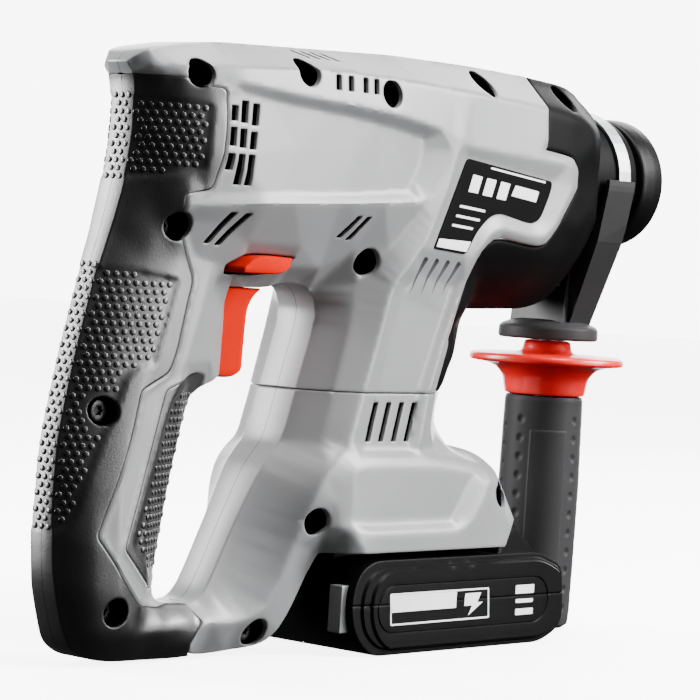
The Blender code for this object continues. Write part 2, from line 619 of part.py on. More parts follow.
# ---------------------------------------------------------------- side handle
def side_handle():
    lathe("bracket_disc", [(131.2, 5.4), (125.4, 5.4), (124.8, 20.5), (125.8, 21.5), (130.2, 21.5), (131.2, 20.5)],
          "z", (HANDLE_X, 0, 0), 32, "black_plastic")
    profile = [
        (124.4, 0), (124.4, 9.9), (119.5, 10.2), (118.2, 12.5), (118.0, 32.0), (116.8, 33.5), (114.4, 33.5),
        (113.6, 31.5), (112.2, 21.0), (101.0, 17.3), (101.0, 12.0), (40.0, 9.5), (40.0, 0),
    ]
    guard = lathe("side_handle_guard", profile, "z", (HANDLE_X, 0, 0), 32, "red_gloss")
    boolean(guard, rod("bore", 4.4, 90.0, 130.0, "z", (HANDLE_X, 0, 0), 12))
    profile = [
        (100.6, 12.4), (39.6, 9.9), (39.6, 0), (0.6, 0), (0.6, 14.5), (3.0, 16.6), (30.0, 17.2), (62.0, 17.6),
        (92.0, 17.2), (100.6, 16.6),
    ]
    lathe("side_handle_grip", profile, "z", (HANDLE_X, 0, 0), 26, "black_rubber")
    bracket()
    profile = [(91.0, 0), (91.0, 4.0), (158.5, 4.0), (158.5, 7.2), (161.5, 7.2), (161.5, 0)]
    lathe("tension_bolt", profile, "z", (HANDLE_X, 0, 0), 20, "steel")


def arc(radius, start, stop, count, centre):
    points = []
    for i in range(count + 1):
        angle = math.radians(start + (stop - start) * i / count)
        points.append((centre[0] + radius * math.cos(angle), centre[1] + radius * math.sin(angle)))
    return points


BAND_IN = 28.65
BAND_OUT = 29.9


def bracket():
    """Plastic saddle under the neck with two arms coming down to the disc, and the steel band over the neck."""
    arms = arc(32.0, -8, 0, 2, (0, AXIS_Z)) + [(31.8, 194.4), (30.3, 194.4)]
    arms += [(-30.3, 194.4), (-31.8, 194.4)] + arc(32.0, 180, 188, 2, (0, AXIS_Z))
    arms += [(-27.5, 168.0), (-15.0, 131.6), (15.0, 131.6), (27.5, 168.0)]
    body = prism("side_handle_bracket", arms, 121.5, 139.5, "x", "black_plastic")
    boolean(body, rod("saddle", 30.3, 110, 150, "x", (0, 0, AXIS_Z), 48))
    front = [(136.0, 131.0), (150.0, 131.0), (150.0, 176.0), (139.5, 176.0)]
    boolean(body, prism("front_cut", front, -40, 40, "y"))
    foot = prism("heel", [(117.5, 131.6), (136.0, 131.6), (136.0, 140.0), (121.6, 164.0), (121.5, 164.0)], -14, 14)
    boolean(body, foot, "UNION")
    boolean(body, box("slot", (121.0 - 4, -10.0, 148.0), (150.0, 10.0, 172.0)))
    boolean(body, rod("bore", 4.6, 125.0, 150.0, "z", (HANDLE_X, 0, 0), 16))
    band = ring("clamp_band", BAND_IN, BAND_OUT, 131.2, 139.2, "x", (0, 0, AXIS_Z), 44, "steel")
    tabs = prism("tab", [(-5.5, 161.9), (5.5, 161.9), (5.5, 165.4), (-5.5, 165.4)], 122.0, 139.2, "x")
    boolean(band, tabs, "UNION")


# ---------------------------------------------------------------- chuck and hammer mechanism
def chuck():
    profile = [
        (151.8, 22.5), (151.8, 26.0), (152.8, 27.0), (164.0, 27.8), (166.4, 27.0), (166.9, 25.0), (166.9, 17.0),
        (163.0, 17.0), (163.0, 15.2), (157.0, 15.2), (157.0, 22.5),
    ]
    lathe("chuck_sleeve", profile, "x", (0, 0, AXIS_Z), 32, "black_plastic")
    profile = [(167.4, 8.6), (167.4, 16.4), (170.0, 16.0), (175.2, 12.4), (175.6, 11.0), (175.6, 5.2), (173.6, 5.2),
               (173.6, 8.6)]
    lathe("dust_cap", profile, "x", (0, 0, AXIS_Z), 24, "black_rubber")
    profile = [(147.8, 15.0), (147.8, 21.9), (151.2, 21.9), (151.2, 15.0)]
    lathe("chuck_ring", profile, "x", (0, 0, AXIS_Z), 24, "steel")
    profile = [
        (24.0, 10.6), (24.0, 13.6), (147.4, 13.6), (147.4, 14.4), (166.8, 14.4), (166.8, 8.2), (173.2, 8.2),
        (173.2, 5.0), (112.0, 5.0), (112.0, 10.6),
    ]
    lathe("hammer_tube", profile, "x", (0, 0, AXIS_Z), 24, "steel")
    ring("front_bearing", 13.95, 21.0, 122.0, 131.0, "x", (0, 0, AXIS_Z), 24, "steel")
    ring("rear_bearing", 13.95, 20.5, 28.0, 35.0, "x", (0, 0, AXIS_Z), 24, "steel")
    rod("striker", 10.2, 62.0, 84.0, "x", (0, 0, AXIS_Z), 24, "steel")
    profile = [(88.0, 0), (88.0, 5.5), (93.0, 5.5), (93.0, 10.2), (101.0, 10.2), (103.0, 7.0), (110.5, 7.0), (110.5, 0)]
    lathe("impact_bolt", profile, "x", (0, 0, AXIS_Z), 24, "steel")
    piston = lathe("piston", [(1.0, 0), (1.0, 7.0), (17.0, 7.0), (17.0, 10.2), (50.0, 10.2), (50.0, 0)],
                   "x", (0, 0, AXIS_Z), 24, "aluminium")
    boolean(piston, box("fork", (WOBBLE_X - 4.2, -3.2, 180.0), (WOBBLE_X + 4.2, 3.2, 210.0)))


def gear_outline(teeth, inner, outer):
    points = []
    for i in range(teeth):
        for share, radius in ((0.0, inner), (0.28, outer), (0.5, outer), (0.78, inner)):
            angle = 2 * math.pi * (i + share) / teeth
            points.append((radius * math.cos(angle), radius * math.sin(angle)))
    return points


def gear(name, teeth, inner, outer, low, high, z, bore, material, turn=0.0):
    points = []
    for y, up in gear_outline(teeth, inner, outer):
        points.append((y * math.cos(turn) - up * math.sin(turn), z + y * math.sin(turn) + up * math.cos(turn)))
    made = prism(name, points, low, high, "x", material)
    if bore:
        boolean(made, rod("bore", bore, low - 5, high + 5, "x", (0, 0, z), 24))
    return made


def gearing():
    gear("spindle_gear", 27, 18.8, 20.8, 52.0, 62.0, AXIS_Z, 13.95, "steel")
    shaft = lathe("layshaft", [(-10.0, 0), (-10.0, 5.5), (70.0, 5.5), (70.0, 4.0), (76.0, 4.0), (76.0, 0)],
                  "x", (0, 0, LAYSHAFT_Z), 18, "steel")
    boolean(shaft, gear("pinion", 13, 8.4, 10.6, 51.0, 63.0, LAYSHAFT_Z, 0, None, 0.12), "UNION")
    boolean(shaft, gear("wheel", 30, 12.8, 14.6, -9.0, -4.0, LAYSHAFT_Z, 0, None), "UNION")
    profile = [(WOBBLE_X - 6.0, 7.4), (WOBBLE_X - 6.0, 11.0), (WOBBLE_X + 6.0, 11.0), (WOBBLE_X + 6.0, 7.4)]
    drum = lathe("wobble_drive", profile, "x", (0, 0, LAYSHAFT_Z), 24, "steel")
    boolean(drum, rod("finger", 2.6, 170.5, 194.0, "z", (WOBBLE_X, 0, 0), 12), "UNION")
    half = [(12.0, 150.0), (20.0, 163.0), (26.5, 176.0), (26.5, 214.0), (15.0, 227.0)]
    plate = half + [(-y, z) for y, z in reversed(half)]
    cover = prism("bearing_plate", plate, -14.8, -11.0, "x", "aluminium")
    boolean(cover, rod("hole", 5.6, -20, -5, "x", (0, 0, MOTOR_Z), 20))


def motor():
    ring("motor_stator", 16.2, 25.0, -92.0, -56.0, "x", (0, 0, MOTOR_Z), 30, "copper")
    profile = [(-98.0, 0), (-98.0, 3.0), (-90.0, 3.0), (-90.0, 15.2), (-58.0, 15.2), (-58.0, 4.0), (-10.5, 4.0),
               (-10.5, 3.2), (-2.6, 3.2), (-2.6, 0)]
    rotor = lathe("motor_rotor", profile, "x", (0, 0, MOTOR_Z), 24, "steel")
    boolean(rotor, gear("teeth", 8, 2.7, 4.2, -9.5, -3.5, MOTOR_Z, 0, None, 0.2), "UNION")
    fan = ring("motor_fan", 4.35, 8.0, -50.0, -39.6, "x", (0, 0, MOTOR_Z), 30, "black_plastic")
    boolean(fan, ring("disc", 6.0, 22.5, -42.0, -40.4, "x", (0, 0, MOTOR_Z), 28), "UNION")
    for k in range(7):
        angle = 2 * math.pi * k / 7
        blade = box("blade", (-49.0, 6.5, -0.7), (-41.0, 22.0, 0.7))
        for v in blade.data.vertices:
            y, z = v.co.y, v.co.z
            v.co.y = y * math.cos(angle) - z * math.sin(angle)
            v.co.z = y * math.sin(angle) + z * math.cos(angle) + MOTOR_Z * MM
        boolean(fan, blade, "UNION")


# ---------------------------------------------------------------- controls
def controls():
    outline = [
        (-86.0, 107.8), (-84.0, 106.6), (-74.5, 106.6), (-70.5, 109.6), (-70.2, 122.0), (-69.8, 133.0),
        (-66.5, 138.0), (-61.5, 140.4), (-86.5, 140.6), (-93.0, 138.0), (-93.0, 112.0),
    ]
    trigger = prism("trigger", outline, -7.6, 7.6, "y", "orange_plastic")
    boolean(trigger, box("hollow", (-100.0, -5.0, 112.0), (-84.0, 5.0, 136.0)))
    box("switch_body", (-124.0, -8.5, 112.0), (-101.0, 8.5, 138.0), "black_plastic")
    outline = [
        (-92.0, 146.6), (-68.5, 146.6), (-62.5, 153.6), (-84.5, 154.2), (-92.0, 149.0),
    ]
    prism("direction_lever", outline, -25.5, 25.5, "y", "orange_plastic")
    knob = lathe("mode_selector", [(33.9, 0), (33.9, 15.0), (35.6, 15.0), (36.4, 14.2), (36.4, 0)],
                 "y", KNOB_AT, 32, "black_plastic")
    x, _, z = KNOB_AT
    grip = box("bar", (x - 12.5, 35.0, z - 2.8), (x + 12.5, 37.4, z + 2.8))
    boolean(knob, grip, "UNION")


def lever_slot(body, side):
    """Passage for the lever through both sides of the upper housing."""
    outline = [(-93.4, 145.6), (-67.6, 145.6), (-60.6, 154.6), (-85.0, 155.3), (-93.4, 149.4)]
    ends = sorted((-side * 1.0, side * 30.0))
    boolean(body, prism("slot", outline, ends[0], ends[1]))
    ends = sorted((-side * 1.0, side * 8.1))
    boolean(body, box("trigger_slot", (-96.0, ends[0], 106.0), (-80.0, ends[1], 140.95)))


# ---------------------------------------------------------------- battery and electronics
PACK_SIDE = [
    (-16.6, 0.0), (88.0, 0.0), (99.0, 4.0), (103.6, 9.5), (101.4, 30.5), (95.5, 34.0), (84.0, 37.6),
    (-20.0, 37.6), (-30.0, 33.5), (-33.3, 24.0), (-31.0, 8.5),
]
SPLIT_Z = 20.4


def battery():
    outer = prism("pack", PACK_SIDE, -37.6, 37.6, "y")
    slim = shrunk(PACK_SIDE, 2.4)
    for side in (-1, 1):
        ends = sorted((side * 35.4, side * 45.0))
        frame = prism("frame", [(-80, -30), (150, -30), (150, 80), (-80, 80)], ends[0], ends[1])
        boolean(frame, prism("slim", slim, -50, 50, "y"))
        boolean(outer, frame)
    inner = prism("inner", shrunk(PACK_SIDE, 3.0), -34.6, 34.6, "y")
    lower = outer
    upper = copy_of(outer, "battery_case_upper")
    lower.name = "battery_case_lower"
    boolean(lower, inner, keep=True)
    boolean(upper, inner)
    boolean(lower, box("above", (-60, -60, SPLIT_Z - 0.15), (140, 60, 80)))
    boolean(upper, box("below", (-60, -60, -20), (140, 60, SPLIT_Z + 0.15)))
    tower = box("tower", (-22.0, -21.0, 36.0), (52.0, 21.0, 49.0))
    boolean(upper, tower, "UNION")
    nose = prism("nose", [(59.0, 36.0), (90.0, 36.0), (86.5, 38.5), (67.8, 50.6), (61.0, 41.4)], -23.0, 23.0)
    nose_wide = prism("nose", [(62.0, 36.0), (89.0, 36.0), (69.0, 50.4), (61.4, 40.4)], -33.0, 33.0)
    boolean(nose, nose_wide, "UNION")
    boolean(upper, nose, "UNION")
    for side in (-1, 1):
        ends = sorted((side * 16.5, side * 24.0))
        boolean(upper, box("groove", (-25.0, ends[0], 39.6), (56.0, ends[1], 43.4)))
        ends = sorted((side * 22.6, side * 45.0))
        for case in (upper, lower):
            boolean(case, box("latch_gap", (-50.0, ends[0], 8.0), (-26.5, ends[1], 30.0)))
    for case in (upper, lower):
        case.data.materials.clear()
        case.data.materials.append(MATERIALS["black_plastic"])
    for side, word in ((-1, "right"), (1, "left")):
        ends = sorted((side * 25.2, side * 31.6))
        box("latch_button_" + word, (-33.0, ends[0], 9.5), (-27.2, ends[1], 28.0), "grey_plastic")
    for k in range(5):
        rod("cell_%d" % (k + 1), 9.1, -32.5, 32.5, "y", (-4.0 + 19.0 * k, 0, 13.0), 20, "cell_wrap")
    box("battery_board", (-16.0, -26.0, 24.0), (70.0, 26.0, 25.6), "board")


def dock():
    """Plate over the pack's tower with two rails that run in its grooves."""
    plate = box("battery_dock", (-26.0, -30.0, 50.2), (54.0, 30.0, 53.4), "black_plastic")
    for side in (-1, 1):
        ends = sorted((side * 21.6, side * 30.0))
        boolean(plate, box("wall", (-26.0, ends[0], 44.0), (54.0, ends[1], 51.0)), "UNION")
        ends = sorted((side * 17.0, side * 26.0))
        boolean(plate, box("rail", (-24.0, ends[0], 40.2), (54.0, ends[1], 43.0)), "UNION")
        ends = sorted((side * 21.6, side * 26.0))
        boolean(plate, box("web", (-24.0, ends[0], 42.0), (54.0, ends[1], 45.0)), "UNION")
    box("control_board", (-20.0, -22.0, 58.0), (48.0, 22.0, 60.0), "board")


# ---------------------------------------------------------------- everything
def clear():
    for thing in list(bpy.data.objects):
        bpy.data.objects.remove(thing)


def main():
    for side, word in ((-1, "right"), (1, "left")):
        body, field = upper_housing(side, word)
        lever_slot(body, side)
        if side > 0:
            boolean(body, rod("pocket", 15.5, 33.5, 50.0, "y", KNOB_AT, 32))
        rubber_grips(side, word, field, upper_field())
        base_housing(side, word)
    gear_housing()
    nameplate()
    screws()
    side_handle()
    chuck()
    gearing()
    motor()
    controls()
    battery()
    dock()
    for thing in bpy.context.scene.objects:
        thing.location.x += SHIFT_X * MM
    bpy.context.view_layer.update()


clear()
MATERIALS = materials()
main()
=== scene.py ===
"""Looks for the cordless rotary hammer: moulded housings, rubber grips, battery, chuck and side handle.

Lengths are millimetres in the design's own frame, with X along the chuck, Z up and Y=0 the parting plane.
in_metres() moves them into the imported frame. A housing is a height field: its outline in side view carries
a half-width, and lines and points inside it carry more, so one set of numbers gives its shape and its edges.
"""

import json
import math

import bpy
import numpy as np
from mathutils import Matrix, Vector
from mathutils.geometry import delaunay_2d_cdt


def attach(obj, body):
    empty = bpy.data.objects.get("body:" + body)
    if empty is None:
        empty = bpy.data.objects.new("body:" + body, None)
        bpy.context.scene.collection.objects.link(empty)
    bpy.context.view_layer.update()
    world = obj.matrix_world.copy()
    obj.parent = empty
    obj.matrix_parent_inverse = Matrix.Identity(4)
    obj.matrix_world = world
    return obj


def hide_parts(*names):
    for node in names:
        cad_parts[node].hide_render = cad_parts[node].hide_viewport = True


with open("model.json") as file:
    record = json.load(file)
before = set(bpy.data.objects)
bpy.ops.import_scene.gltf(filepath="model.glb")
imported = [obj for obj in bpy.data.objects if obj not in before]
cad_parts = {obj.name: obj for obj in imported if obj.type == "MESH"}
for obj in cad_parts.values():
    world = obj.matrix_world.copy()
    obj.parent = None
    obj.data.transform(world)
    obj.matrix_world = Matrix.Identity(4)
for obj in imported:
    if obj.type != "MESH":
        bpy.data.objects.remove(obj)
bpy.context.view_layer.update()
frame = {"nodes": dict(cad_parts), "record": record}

MM = 0.001
SHIFT_X = -6.15  # from the design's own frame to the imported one
CELL, MARGIN, FILL_STEPS = 0.5, 9.0, 14  # of the height fields
ROUND_BLUR, ZONE_BLUR = 2.2, 3.0  # of the rubber's rounder surface, and of where it starts
EDGE = 0.5  # rounding of a skin's edges
THROUGH = 200.0  # deeper than any wall
AXIS_Z = 194.3  # of the chuck
HANDLE_X = 126.9  # of the side handle
SEAM_Z = 102.9  # between the upper housing and the base
SPLIT_Z, SPLIT_GAP = 20.4, 0.12  # between the battery's halves
KNOB_X, KNOB_Z, KNOB_HOLE = 58.0, 184.5, 15.6
HOLE_RADIUS, MOUTH_DEPTH = 5.4, 1.6  # of the screws' bores
HEAD_Y, HEAD_HEIGHT = 10.0, 2.7  # of the screws
LIP = 0.9  # depth of a vent's wall
# inset and depth of the inner wall whose flat black paints the shade behind the vents
SHADE_LINING_INSET, SHADE_LINING_DEPTH = 2.2, 5.0
GROOVE_HALF, GROOVE_DEPTH = 1.5, 2.6
PATCH_DEPTH, PATCH_SLOPE = 0.7, 0.8  # of the studded areas
STUD_RADIUS, STUD_HEIGHT, STUD_PITCH, STUD_ROWS = 1.2, 0.42, 3.45, 2.98
PACK_HALF, PRINT_LOW, PRINT_HIGH = 37.45, 37.4, 37.52  # half-widths of the battery and its print
GRAIN_HEIGHT = 0.0001  # of the moulded grain, in metres
WELD, BEVEL = 0.00001, 0.0005  # in metres
SLOPE_STEP = 0.6  # for a surface's slope under a stud

# ---- outlines (x, z, half-width)
REAR_PATH = [
    (-139.5, 221.5, 5), (-136, 215, 5), (-135.1, 198, 5), (-137.6, 180, 5), (-143.5, 158, 4.5),
    (-147.6, 146, 4), (-156, 114, 4), (-162.4, 83, 4), (-163.3, 51, 4), (-161.4, 30, 4), (-154.5, 9, 5),
    (-146.5, 3.5, 5), (-134, 1.2, 6), (-103.5, 1, 8), (-92, 1.2, 8),
]
FRONT_PATH = [
    (-95.5, 21.2, 8), (-110, 22.3, 8), (-113.5, 26, 8), (-113, 32, 8), (-110.5, 47, 8), (-107.5, 65, 8),
    (-102.5, 87, 8), (-99.5, 98, 8), (-96, 102.5, 8.5), (-88, 105.3, 9), (-84.5, 107.5, 8.5),
]
UNDER_PATH = [
    (-84.3, 141.2, 8.5), (-62, 141.3, 9), (-56, 143.8, 10), (-46, 143.8, 10), (-38, 141.5, 9.5),
    (-34.4, 135, 9.5), (-34.9, 128, 9.5), (-43.2, SEAM_Z, 9.5),
]
SEAM_PATH = [
    (-35.2, SEAM_Z, 22), (-24.3, SEAM_Z, 29), (-15.8, SEAM_Z, 28.3), (8.5, SEAM_Z, 28.3),
    (13.5, SEAM_Z, 30.5), (19.2, SEAM_Z, 28.5),
]
BEZEL_PATH = [
    (26, 125, 29), (32.5, 148, 31), (35.2, 159.1, 35), (41, 164.5, 35.5), (47.3, 166.5, 35.5),
    (70.6, 163.9, 35.5), (77, 165, 35.5), (84, 171.5, 35.5), (96.3, 189, 35.5), (96.3, 197, 35.5),
    (92.2, 202.2, 35.5), (73.7, 203.9, 35.5), (76.5, 221, 32), (79.7, 234.3, 16),
]
TOP_PATH = [
    (43, 235.4, 16), (-6, 235.6, 16), (-28, 234.7, 15), (-58, 233.6, 14), (-105, 231.8, 13),
    (-134, 226.8, 10),
]
BAR_SEAM = [(-97, 6, 14), (-91.5, 15, 14.5)]
UPPER_LOOP = REAR_PATH + BAR_SEAM + FRONT_PATH + UNDER_PATH + SEAM_PATH + BEZEL_PATH + TOP_PATH

CHAMFER = [
    (-133.5, 219.8, 13.5), (-122.5, 221, 19.5), (-100, 222.5, 25), (-71, 224.5, 28.5), (-45.3, 225.6, 30.5),
    (-17.5, 225, 32), (25, 223.5, 33), (76.5, 221, 32),
]
BAND_LOWER = [
    (-108, 217, 24), (-99.4, 217.4, 26.5), (-71.8, 214.4, 30.5), (-46, 213, 33), (-20, 211, 34.5),
    (5, 207.5, 35.2), (12.5, 205, 35.5), (13, 197.4, 35.6), (10, 191, 35.4), (0, 178.6, 34.5),
    (-44, 175.5, 33.3), (-88.6, 173.1, 31), (-119, 170.5, 22.5),
]
PANEL = [
    (-97, 213.2, 25.2), (-71, 210.6, 28.1), (-45, 208.9, 30), (-18, 206, 31.1), (-1.5, 203.5, 31.3),
    (-1.8, 194.6, 31.4), (-9, 182.3, 31.4), (-42, 179.3, 30.9), (-86.7, 177, 29.2), (-112, 174.5, 23.6),
]
STRIP_REAR = [
    (18, 204.3, 36), (14.8, 197.5, 36), (10.8, 184, 36), (3.5, 167.8, 35), (-6.7, 152.8, 33),
    (-13.6, 144.2, 31), (-18.6, 121.6, 29.5), (-24.3, SEAM_Z, 29),
]
RIM = [
    (19.5, 202, 36), (73, 199, 36.2), (86.5, 198.5, 36.2), (91.5, 195.5, 36.2), (91.5, 190, 36.2),
    (80.5, 172.5, 36.2), (74.5, 168.3, 36.2), (68, 167.5, 36.2), (46.5, 170.2, 36.2), (39.5, 168.3, 36),
    (33.5, 162, 36), (29, 148.5, 32.5), (20.8, 125.3, 31), (13.5, SEAM_Z, 30.5),
]
LABEL = [
    (22.6, 197.7), (79, 191.5), (78.5, 187), (72.5, 175), (67, 172.6), (46, 176), (39.5, 174.4), (32, 168),
    (26, 158.5), (5, 160),
]
LABEL_HALF = 34.2
COLUMN_PANEL = [(-4.8, 145, 29.8), (-11, 122, 28.9), (-15.8, SEAM_Z, 28.3)]
COLUMN_FRONT = [(23.5, 145.5, 29.8), (16.5, 125.7, 28.9), (8.5, SEAM_Z, 28.3)]
UNDER_EDGE = [(-1.2, 176.9, 34.1), (-9.5, 166.5, 30.8), (-15.5, 158.5, 28.2), (-19.5, 152.6, 25.3)]
COLUMN_REAR = [(-22, 150, 22.5), (-25.3, 141.9, 21.5), (-28.9, 125.1, 22), (-35.2, SEAM_Z, 22)]
UPPER_POINTS = [
    (-110, 152, 17.5), (-88, 158, 22), (-88, 148, 17), (-62, 158, 25.5), (-62, 150, 20), (-44, 150, 19),
    (-30, 158, 24.5), (2, 150, 31), (-132, 150, 13), (-120, 150, 17), (-100, 150, 17.5), (-139, 130, 13),
    (-127, 130, 17), (-106, 130, 18), (-91, 132, 14), (-143.5, 114, 13), (-131, 114, 17), (-112, 112, 18),
    (-95, 113, 14), (-149, 90, 13), (-138, 90, 17), (-120, 90, 17), (-108, 90, 12), (-152, 66, 13.5),
    (-141, 66, 17.5), (-124, 66, 16.5), (-113, 66, 11.5), (-152, 45, 14.5), (-141, 45, 18), (-126, 45, 17),
    (-116, 46, 11.5), (-150, 28, 15), (-139, 28, 18), (-124, 30, 16.5), (-146, 13, 14.5), (-130, 12, 17),
    (-112, 13, 16), (-100, 15, 15), (-140, 6.5, 12), (-110, 6.5, 13), (-128, 165, 15), (-121, 165, 19),
    (-105, 165, 23), (-130, 190, 12), (-122, 190, 19.5), (-113, 190, 25), (-103, 190, 27.3),
    (-129, 208, 12), (-121, 208, 19), (-110, 208, 24.3), (-131, 177, 12.5), (-70, 195, 29.2),
    (-40, 195, 30.8), (-112, 140, 17.5),
]
RUBBER_INNER = [
    (-97.3, 6), (-91.8, 14.9), (-95.8, 24), (-111.3, 20.8), (-127.4, 22.6), (-138.3, 33.9), (-149.5, 48.5),
    (-143.2, 66.6), (-136.8, 84.4), (-133.2, 101.9), (-120, 108.5), (-116.7, 117.2), (-112.5, 136.1),
    (-110.4, 142.8), (-115.1, 152.5), (-120.7, 162.5), (-120.7, 174.6), (-110.5, 176.7), (-107.4, 189.3),
    (-105.6, 204.2), (-106, 212.6), (-108, 214.4), (-112, 214.4), (-122.4, 217.1), (-150, 217.1),
]
REAR_ZONE = [(-175, 217.1), (-175, -6), (-92, -6), (-92.3, 1.2)]
RUBBER_ZONE = REAR_ZONE + RUBBER_INNER
FRONT_INSERT = [
    (-103, 108.9), (-95.5, 107.6), (-93.6, 101), (-85, 99), (-85, 29.5), (-121.7, 28.4), (-137.6, 44),
    (-129.9, 67.1), (-120.8, 102.3),
]
STUDS_UPPER = [
    (-170, 209.5), (-136, 209.5), (-112, 207.5), (-114.3, 184), (-123, 181.5), (-139, 179), (-170, 179),
]
STUDS_LOWER = [
    (-175, 146), (-136, 145.6), (-117.9, 142.9), (-121.8, 130), (-126.1, 117), (-126.8, 112.5),
    (-138.3, 108.3), (-143.4, 95.7), (-148.1, 84.4), (-153.5, 69.2), (-157.5, 53.8), (-161, 50.5),
    (-175, 50.5),
]
STUDS_FRONT = [
    (-104, 103.5), (-90, 97), (-90, 33.5), (-120.5, 33.5), (-132.5, 45.5), (-125.4, 67.5), (-116.5, 99),
]
COVER_LOOP = [
    (-43.3, 102.5, 9.5), (-49.3, 83, 9.5), (-55, 77.5, 9.5), (-60, 72, 9), (-70.7, 52.6, 8), (-84, 27, 8),
    (-89, 22, 8), (-95.1, 21, 8), (-91.1, 15, 14.5), (-96.6, 6, 14), (-91.6, 1.2, 8), (-70, 2.2, 9),
    (-58, 4.4, 14), (-52.7, 9.8, 17), (-48.1, 16.6, 18), (-40.3, 31.1, 19), (-37.5, 40, 22),
    (-33, 40.8, 33), (-26, 40.8, 37), (60, 40.8, 37), (68.5, 51.5, 34), (63, 72, 26), (58, 78.5, 18),
    (47, 81, 9.5), (42.5, 90, 9), (42.8, 96, 9), (44.6, 102.5, 9), (20.5, 102.5, 28), (13.3, 102.5, 30.5),
    (8.4, 102.5, 28.3), (-16, 102.5, 28.3), (-24.4, 102.5, 29), (-35.3, 102.5, 22),
]
FOOT_PANEL = [
    (-31.5, 71.5, 33.2), (-29, 74.2, 33.4), (-10, 74.2, 33.7), (18.3, 73.4, 33.7), (40.5, 71.6, 33.7),
    (27.4, 52.2, 33.9), (-22.5, 51.9, 33.9), (-31.5, 52.8, 33.4), (-31.5, 71.5, 33.2),
]
FOOT_RIM = [
    (52.5, 72, 31.5), (49.5, 67.5, 36.2), (35.8, 50.6, 37), (28, 48.6, 37), (-22, 48.6, 37),
    (-31.5, 49.6, 36), (-37.5, 50.6, 31), (-42, 50.5, 28),
]
FOOT_SHOULDER = [
    (-29, 77, 31.6), (-20, 77.9, 32), (-10, 78, 32), (18, 77.4, 32), (44, 75.4, 30.8), (52.5, 72, 31.5),
]
FOOT_TOP = [(-22.8, 80.8, 29), (4.4, 80.4, 28.8), (9.3, 80.2, 30.6), (17, 80.2, 27.5), (37, 79.5, 23)]
ARM_EDGE = [
    (-32.2, 80.6, 29.8), (-37.6, 78.2, 30), (-42.3, 74.9, 29.9), (-45.7, 69.9, 29.5), (-47.9, 64.3, 28.9),
    (-49.6, 58.8, 27.8), (-51.4, 52.6, 26), (-53.2, 43.5, 24), (-56.8, 30, 21.3), (-60, 24, 20.2),
    (-62.4, 19.8, 19.3), (-65.2, 16.8, 18.5), (-69.2, 15.2, 17.6), (-76, 14.3, 16.6), (-90, 14.6, 14.9),
]
BASE_RIDGES = [
    [(-35.2, 102, 22), (-41.5, 82.5, 22)], [(-24.3, 102, 29), (-31.6, 82, 29.5)],
    [(-15.9, 102, 28.3), (-22.4, 82, 28.8)], [(8.4, 102, 28.3), (4.8, 82, 28.8)],
    [(13.4, 102, 30.5), (9.6, 82, 30.8)], [(19.6, 102, 28.4), (17, 82, 28.2)],
]
BASE_POINTS = [
    (50, 77, 22), (57, 66, 34.5), (61, 51.5, 36.5), (-40.5, 48.2, 27), (-38, 60, 31.2), (-80, 7, 13),
    (30, 95, 19), (32, 86, 18.5), (60, 44, 37), (-30, 45, 36.5),
]
GEAR_LOOP = [
    (80.1, 234.1, 16), (76.9, 221, 32), (74.1, 204.3, 34), (92.5, 202.7, 34), (96.8, 197.3, 33.8),
    (96.8, 188.8, 33.8), (84.4, 171.1, 33.8), (77.3, 164.5, 33.8), (70.6, 163.4, 33.8), (47.3, 166, 33.8),
    (41.3, 164, 33), (35.7, 158.7, 31), (33, 148, 28.5), (26.5, 125, 27), (20, 103.3, 27), (44.4, 103.3, 8),
    (49.5, 118, 8), (56, 136.5, 8), (96, 137.6, 8), (106, 140, 9), (115, 147, 12), (118.5, 160, 20),
    (118.5, 176, 28), (118.5, 212, 28), (118.5, 222, 22), (116, 230, 13), (108, 232.6, 14),
]
GEAR_POINTS = [
    (110, 208, 32.5), (110, 180, 32.5), (101, 174, 33.5), (44, 133, 19), (40, 115, 18), (36.5, 136, 27.2),
    (31.5, 118, 27), (27, 105, 26.6),
]
GEAR_CREST = [(76.9, 221, 32), (92, 219.8, 32.4), (104, 218, 31.8), (113, 214, 30)]
GEAR_ROWS = [
    [(48, 158.5, 31), (80, 158.5, 31.5), (106, 164, 29)],
    [(44, 150, 26.2), (75, 150, 26.6), (104, 154.5, 24)],
    [(51.5, 142.5, 18.5), (78, 142.8, 18.8), (104.5, 146.5, 17)],
]
SCREWS = {
    "rear_top": (-116.2, 219.1), "top_middle": (-66.3, 223.5), "top_vent": (-22.5, 219),
    "grip_upper": (-120.7, 162.5), "column": (-22.7, 153.6), "grip_middle": (-147.5, 94),
    "grip_lower": (-139.1, 20.8), "arm_upper": (-45.3, 52.8), "arm_lower": (-63.4, 9.6),
    "foot_front": (59, 62), "top_front": (41.3, 228), "gear_housing": (98.3, 226.5),
}
LEVER_SLOT = [(-94, 145.9), (-67.8, 145.9), (-61, 153.9), (-84.8, 154.6), (-94, 149.4)]
TRIGGER_SLOT = [(-100.6, 105.4), (-80, 102), (-80, 141.7), (-100.6, 141.7)]
BASE_SCREWS = ("arm_upper", "arm_lower", "foot_front")
GEAR_SCREWS = ("gear_housing",)
GRIP_SCREWS = ("rear_top", "grip_upper", "grip_middle", "grip_lower")
UPPER_SCREWS = [name for name in SCREWS if name not in BASE_SCREWS + GEAR_SCREWS]


# ---- plane geometry
def contains(polygon, x, z):
    """Which of the points are inside a closed polygon."""
    odd = np.zeros(len(x), bool)
    for (ax, az, *_), (bx, bz, *_) in zip(polygon, polygon[1:] + polygon[:1]):
        if az == bz:
            continue
        crosses = ((az > z) != (bz > z)) & (x < (bx - ax) * (z - az) / (bz - az) + ax)
        odd ^= crosses
    return odd


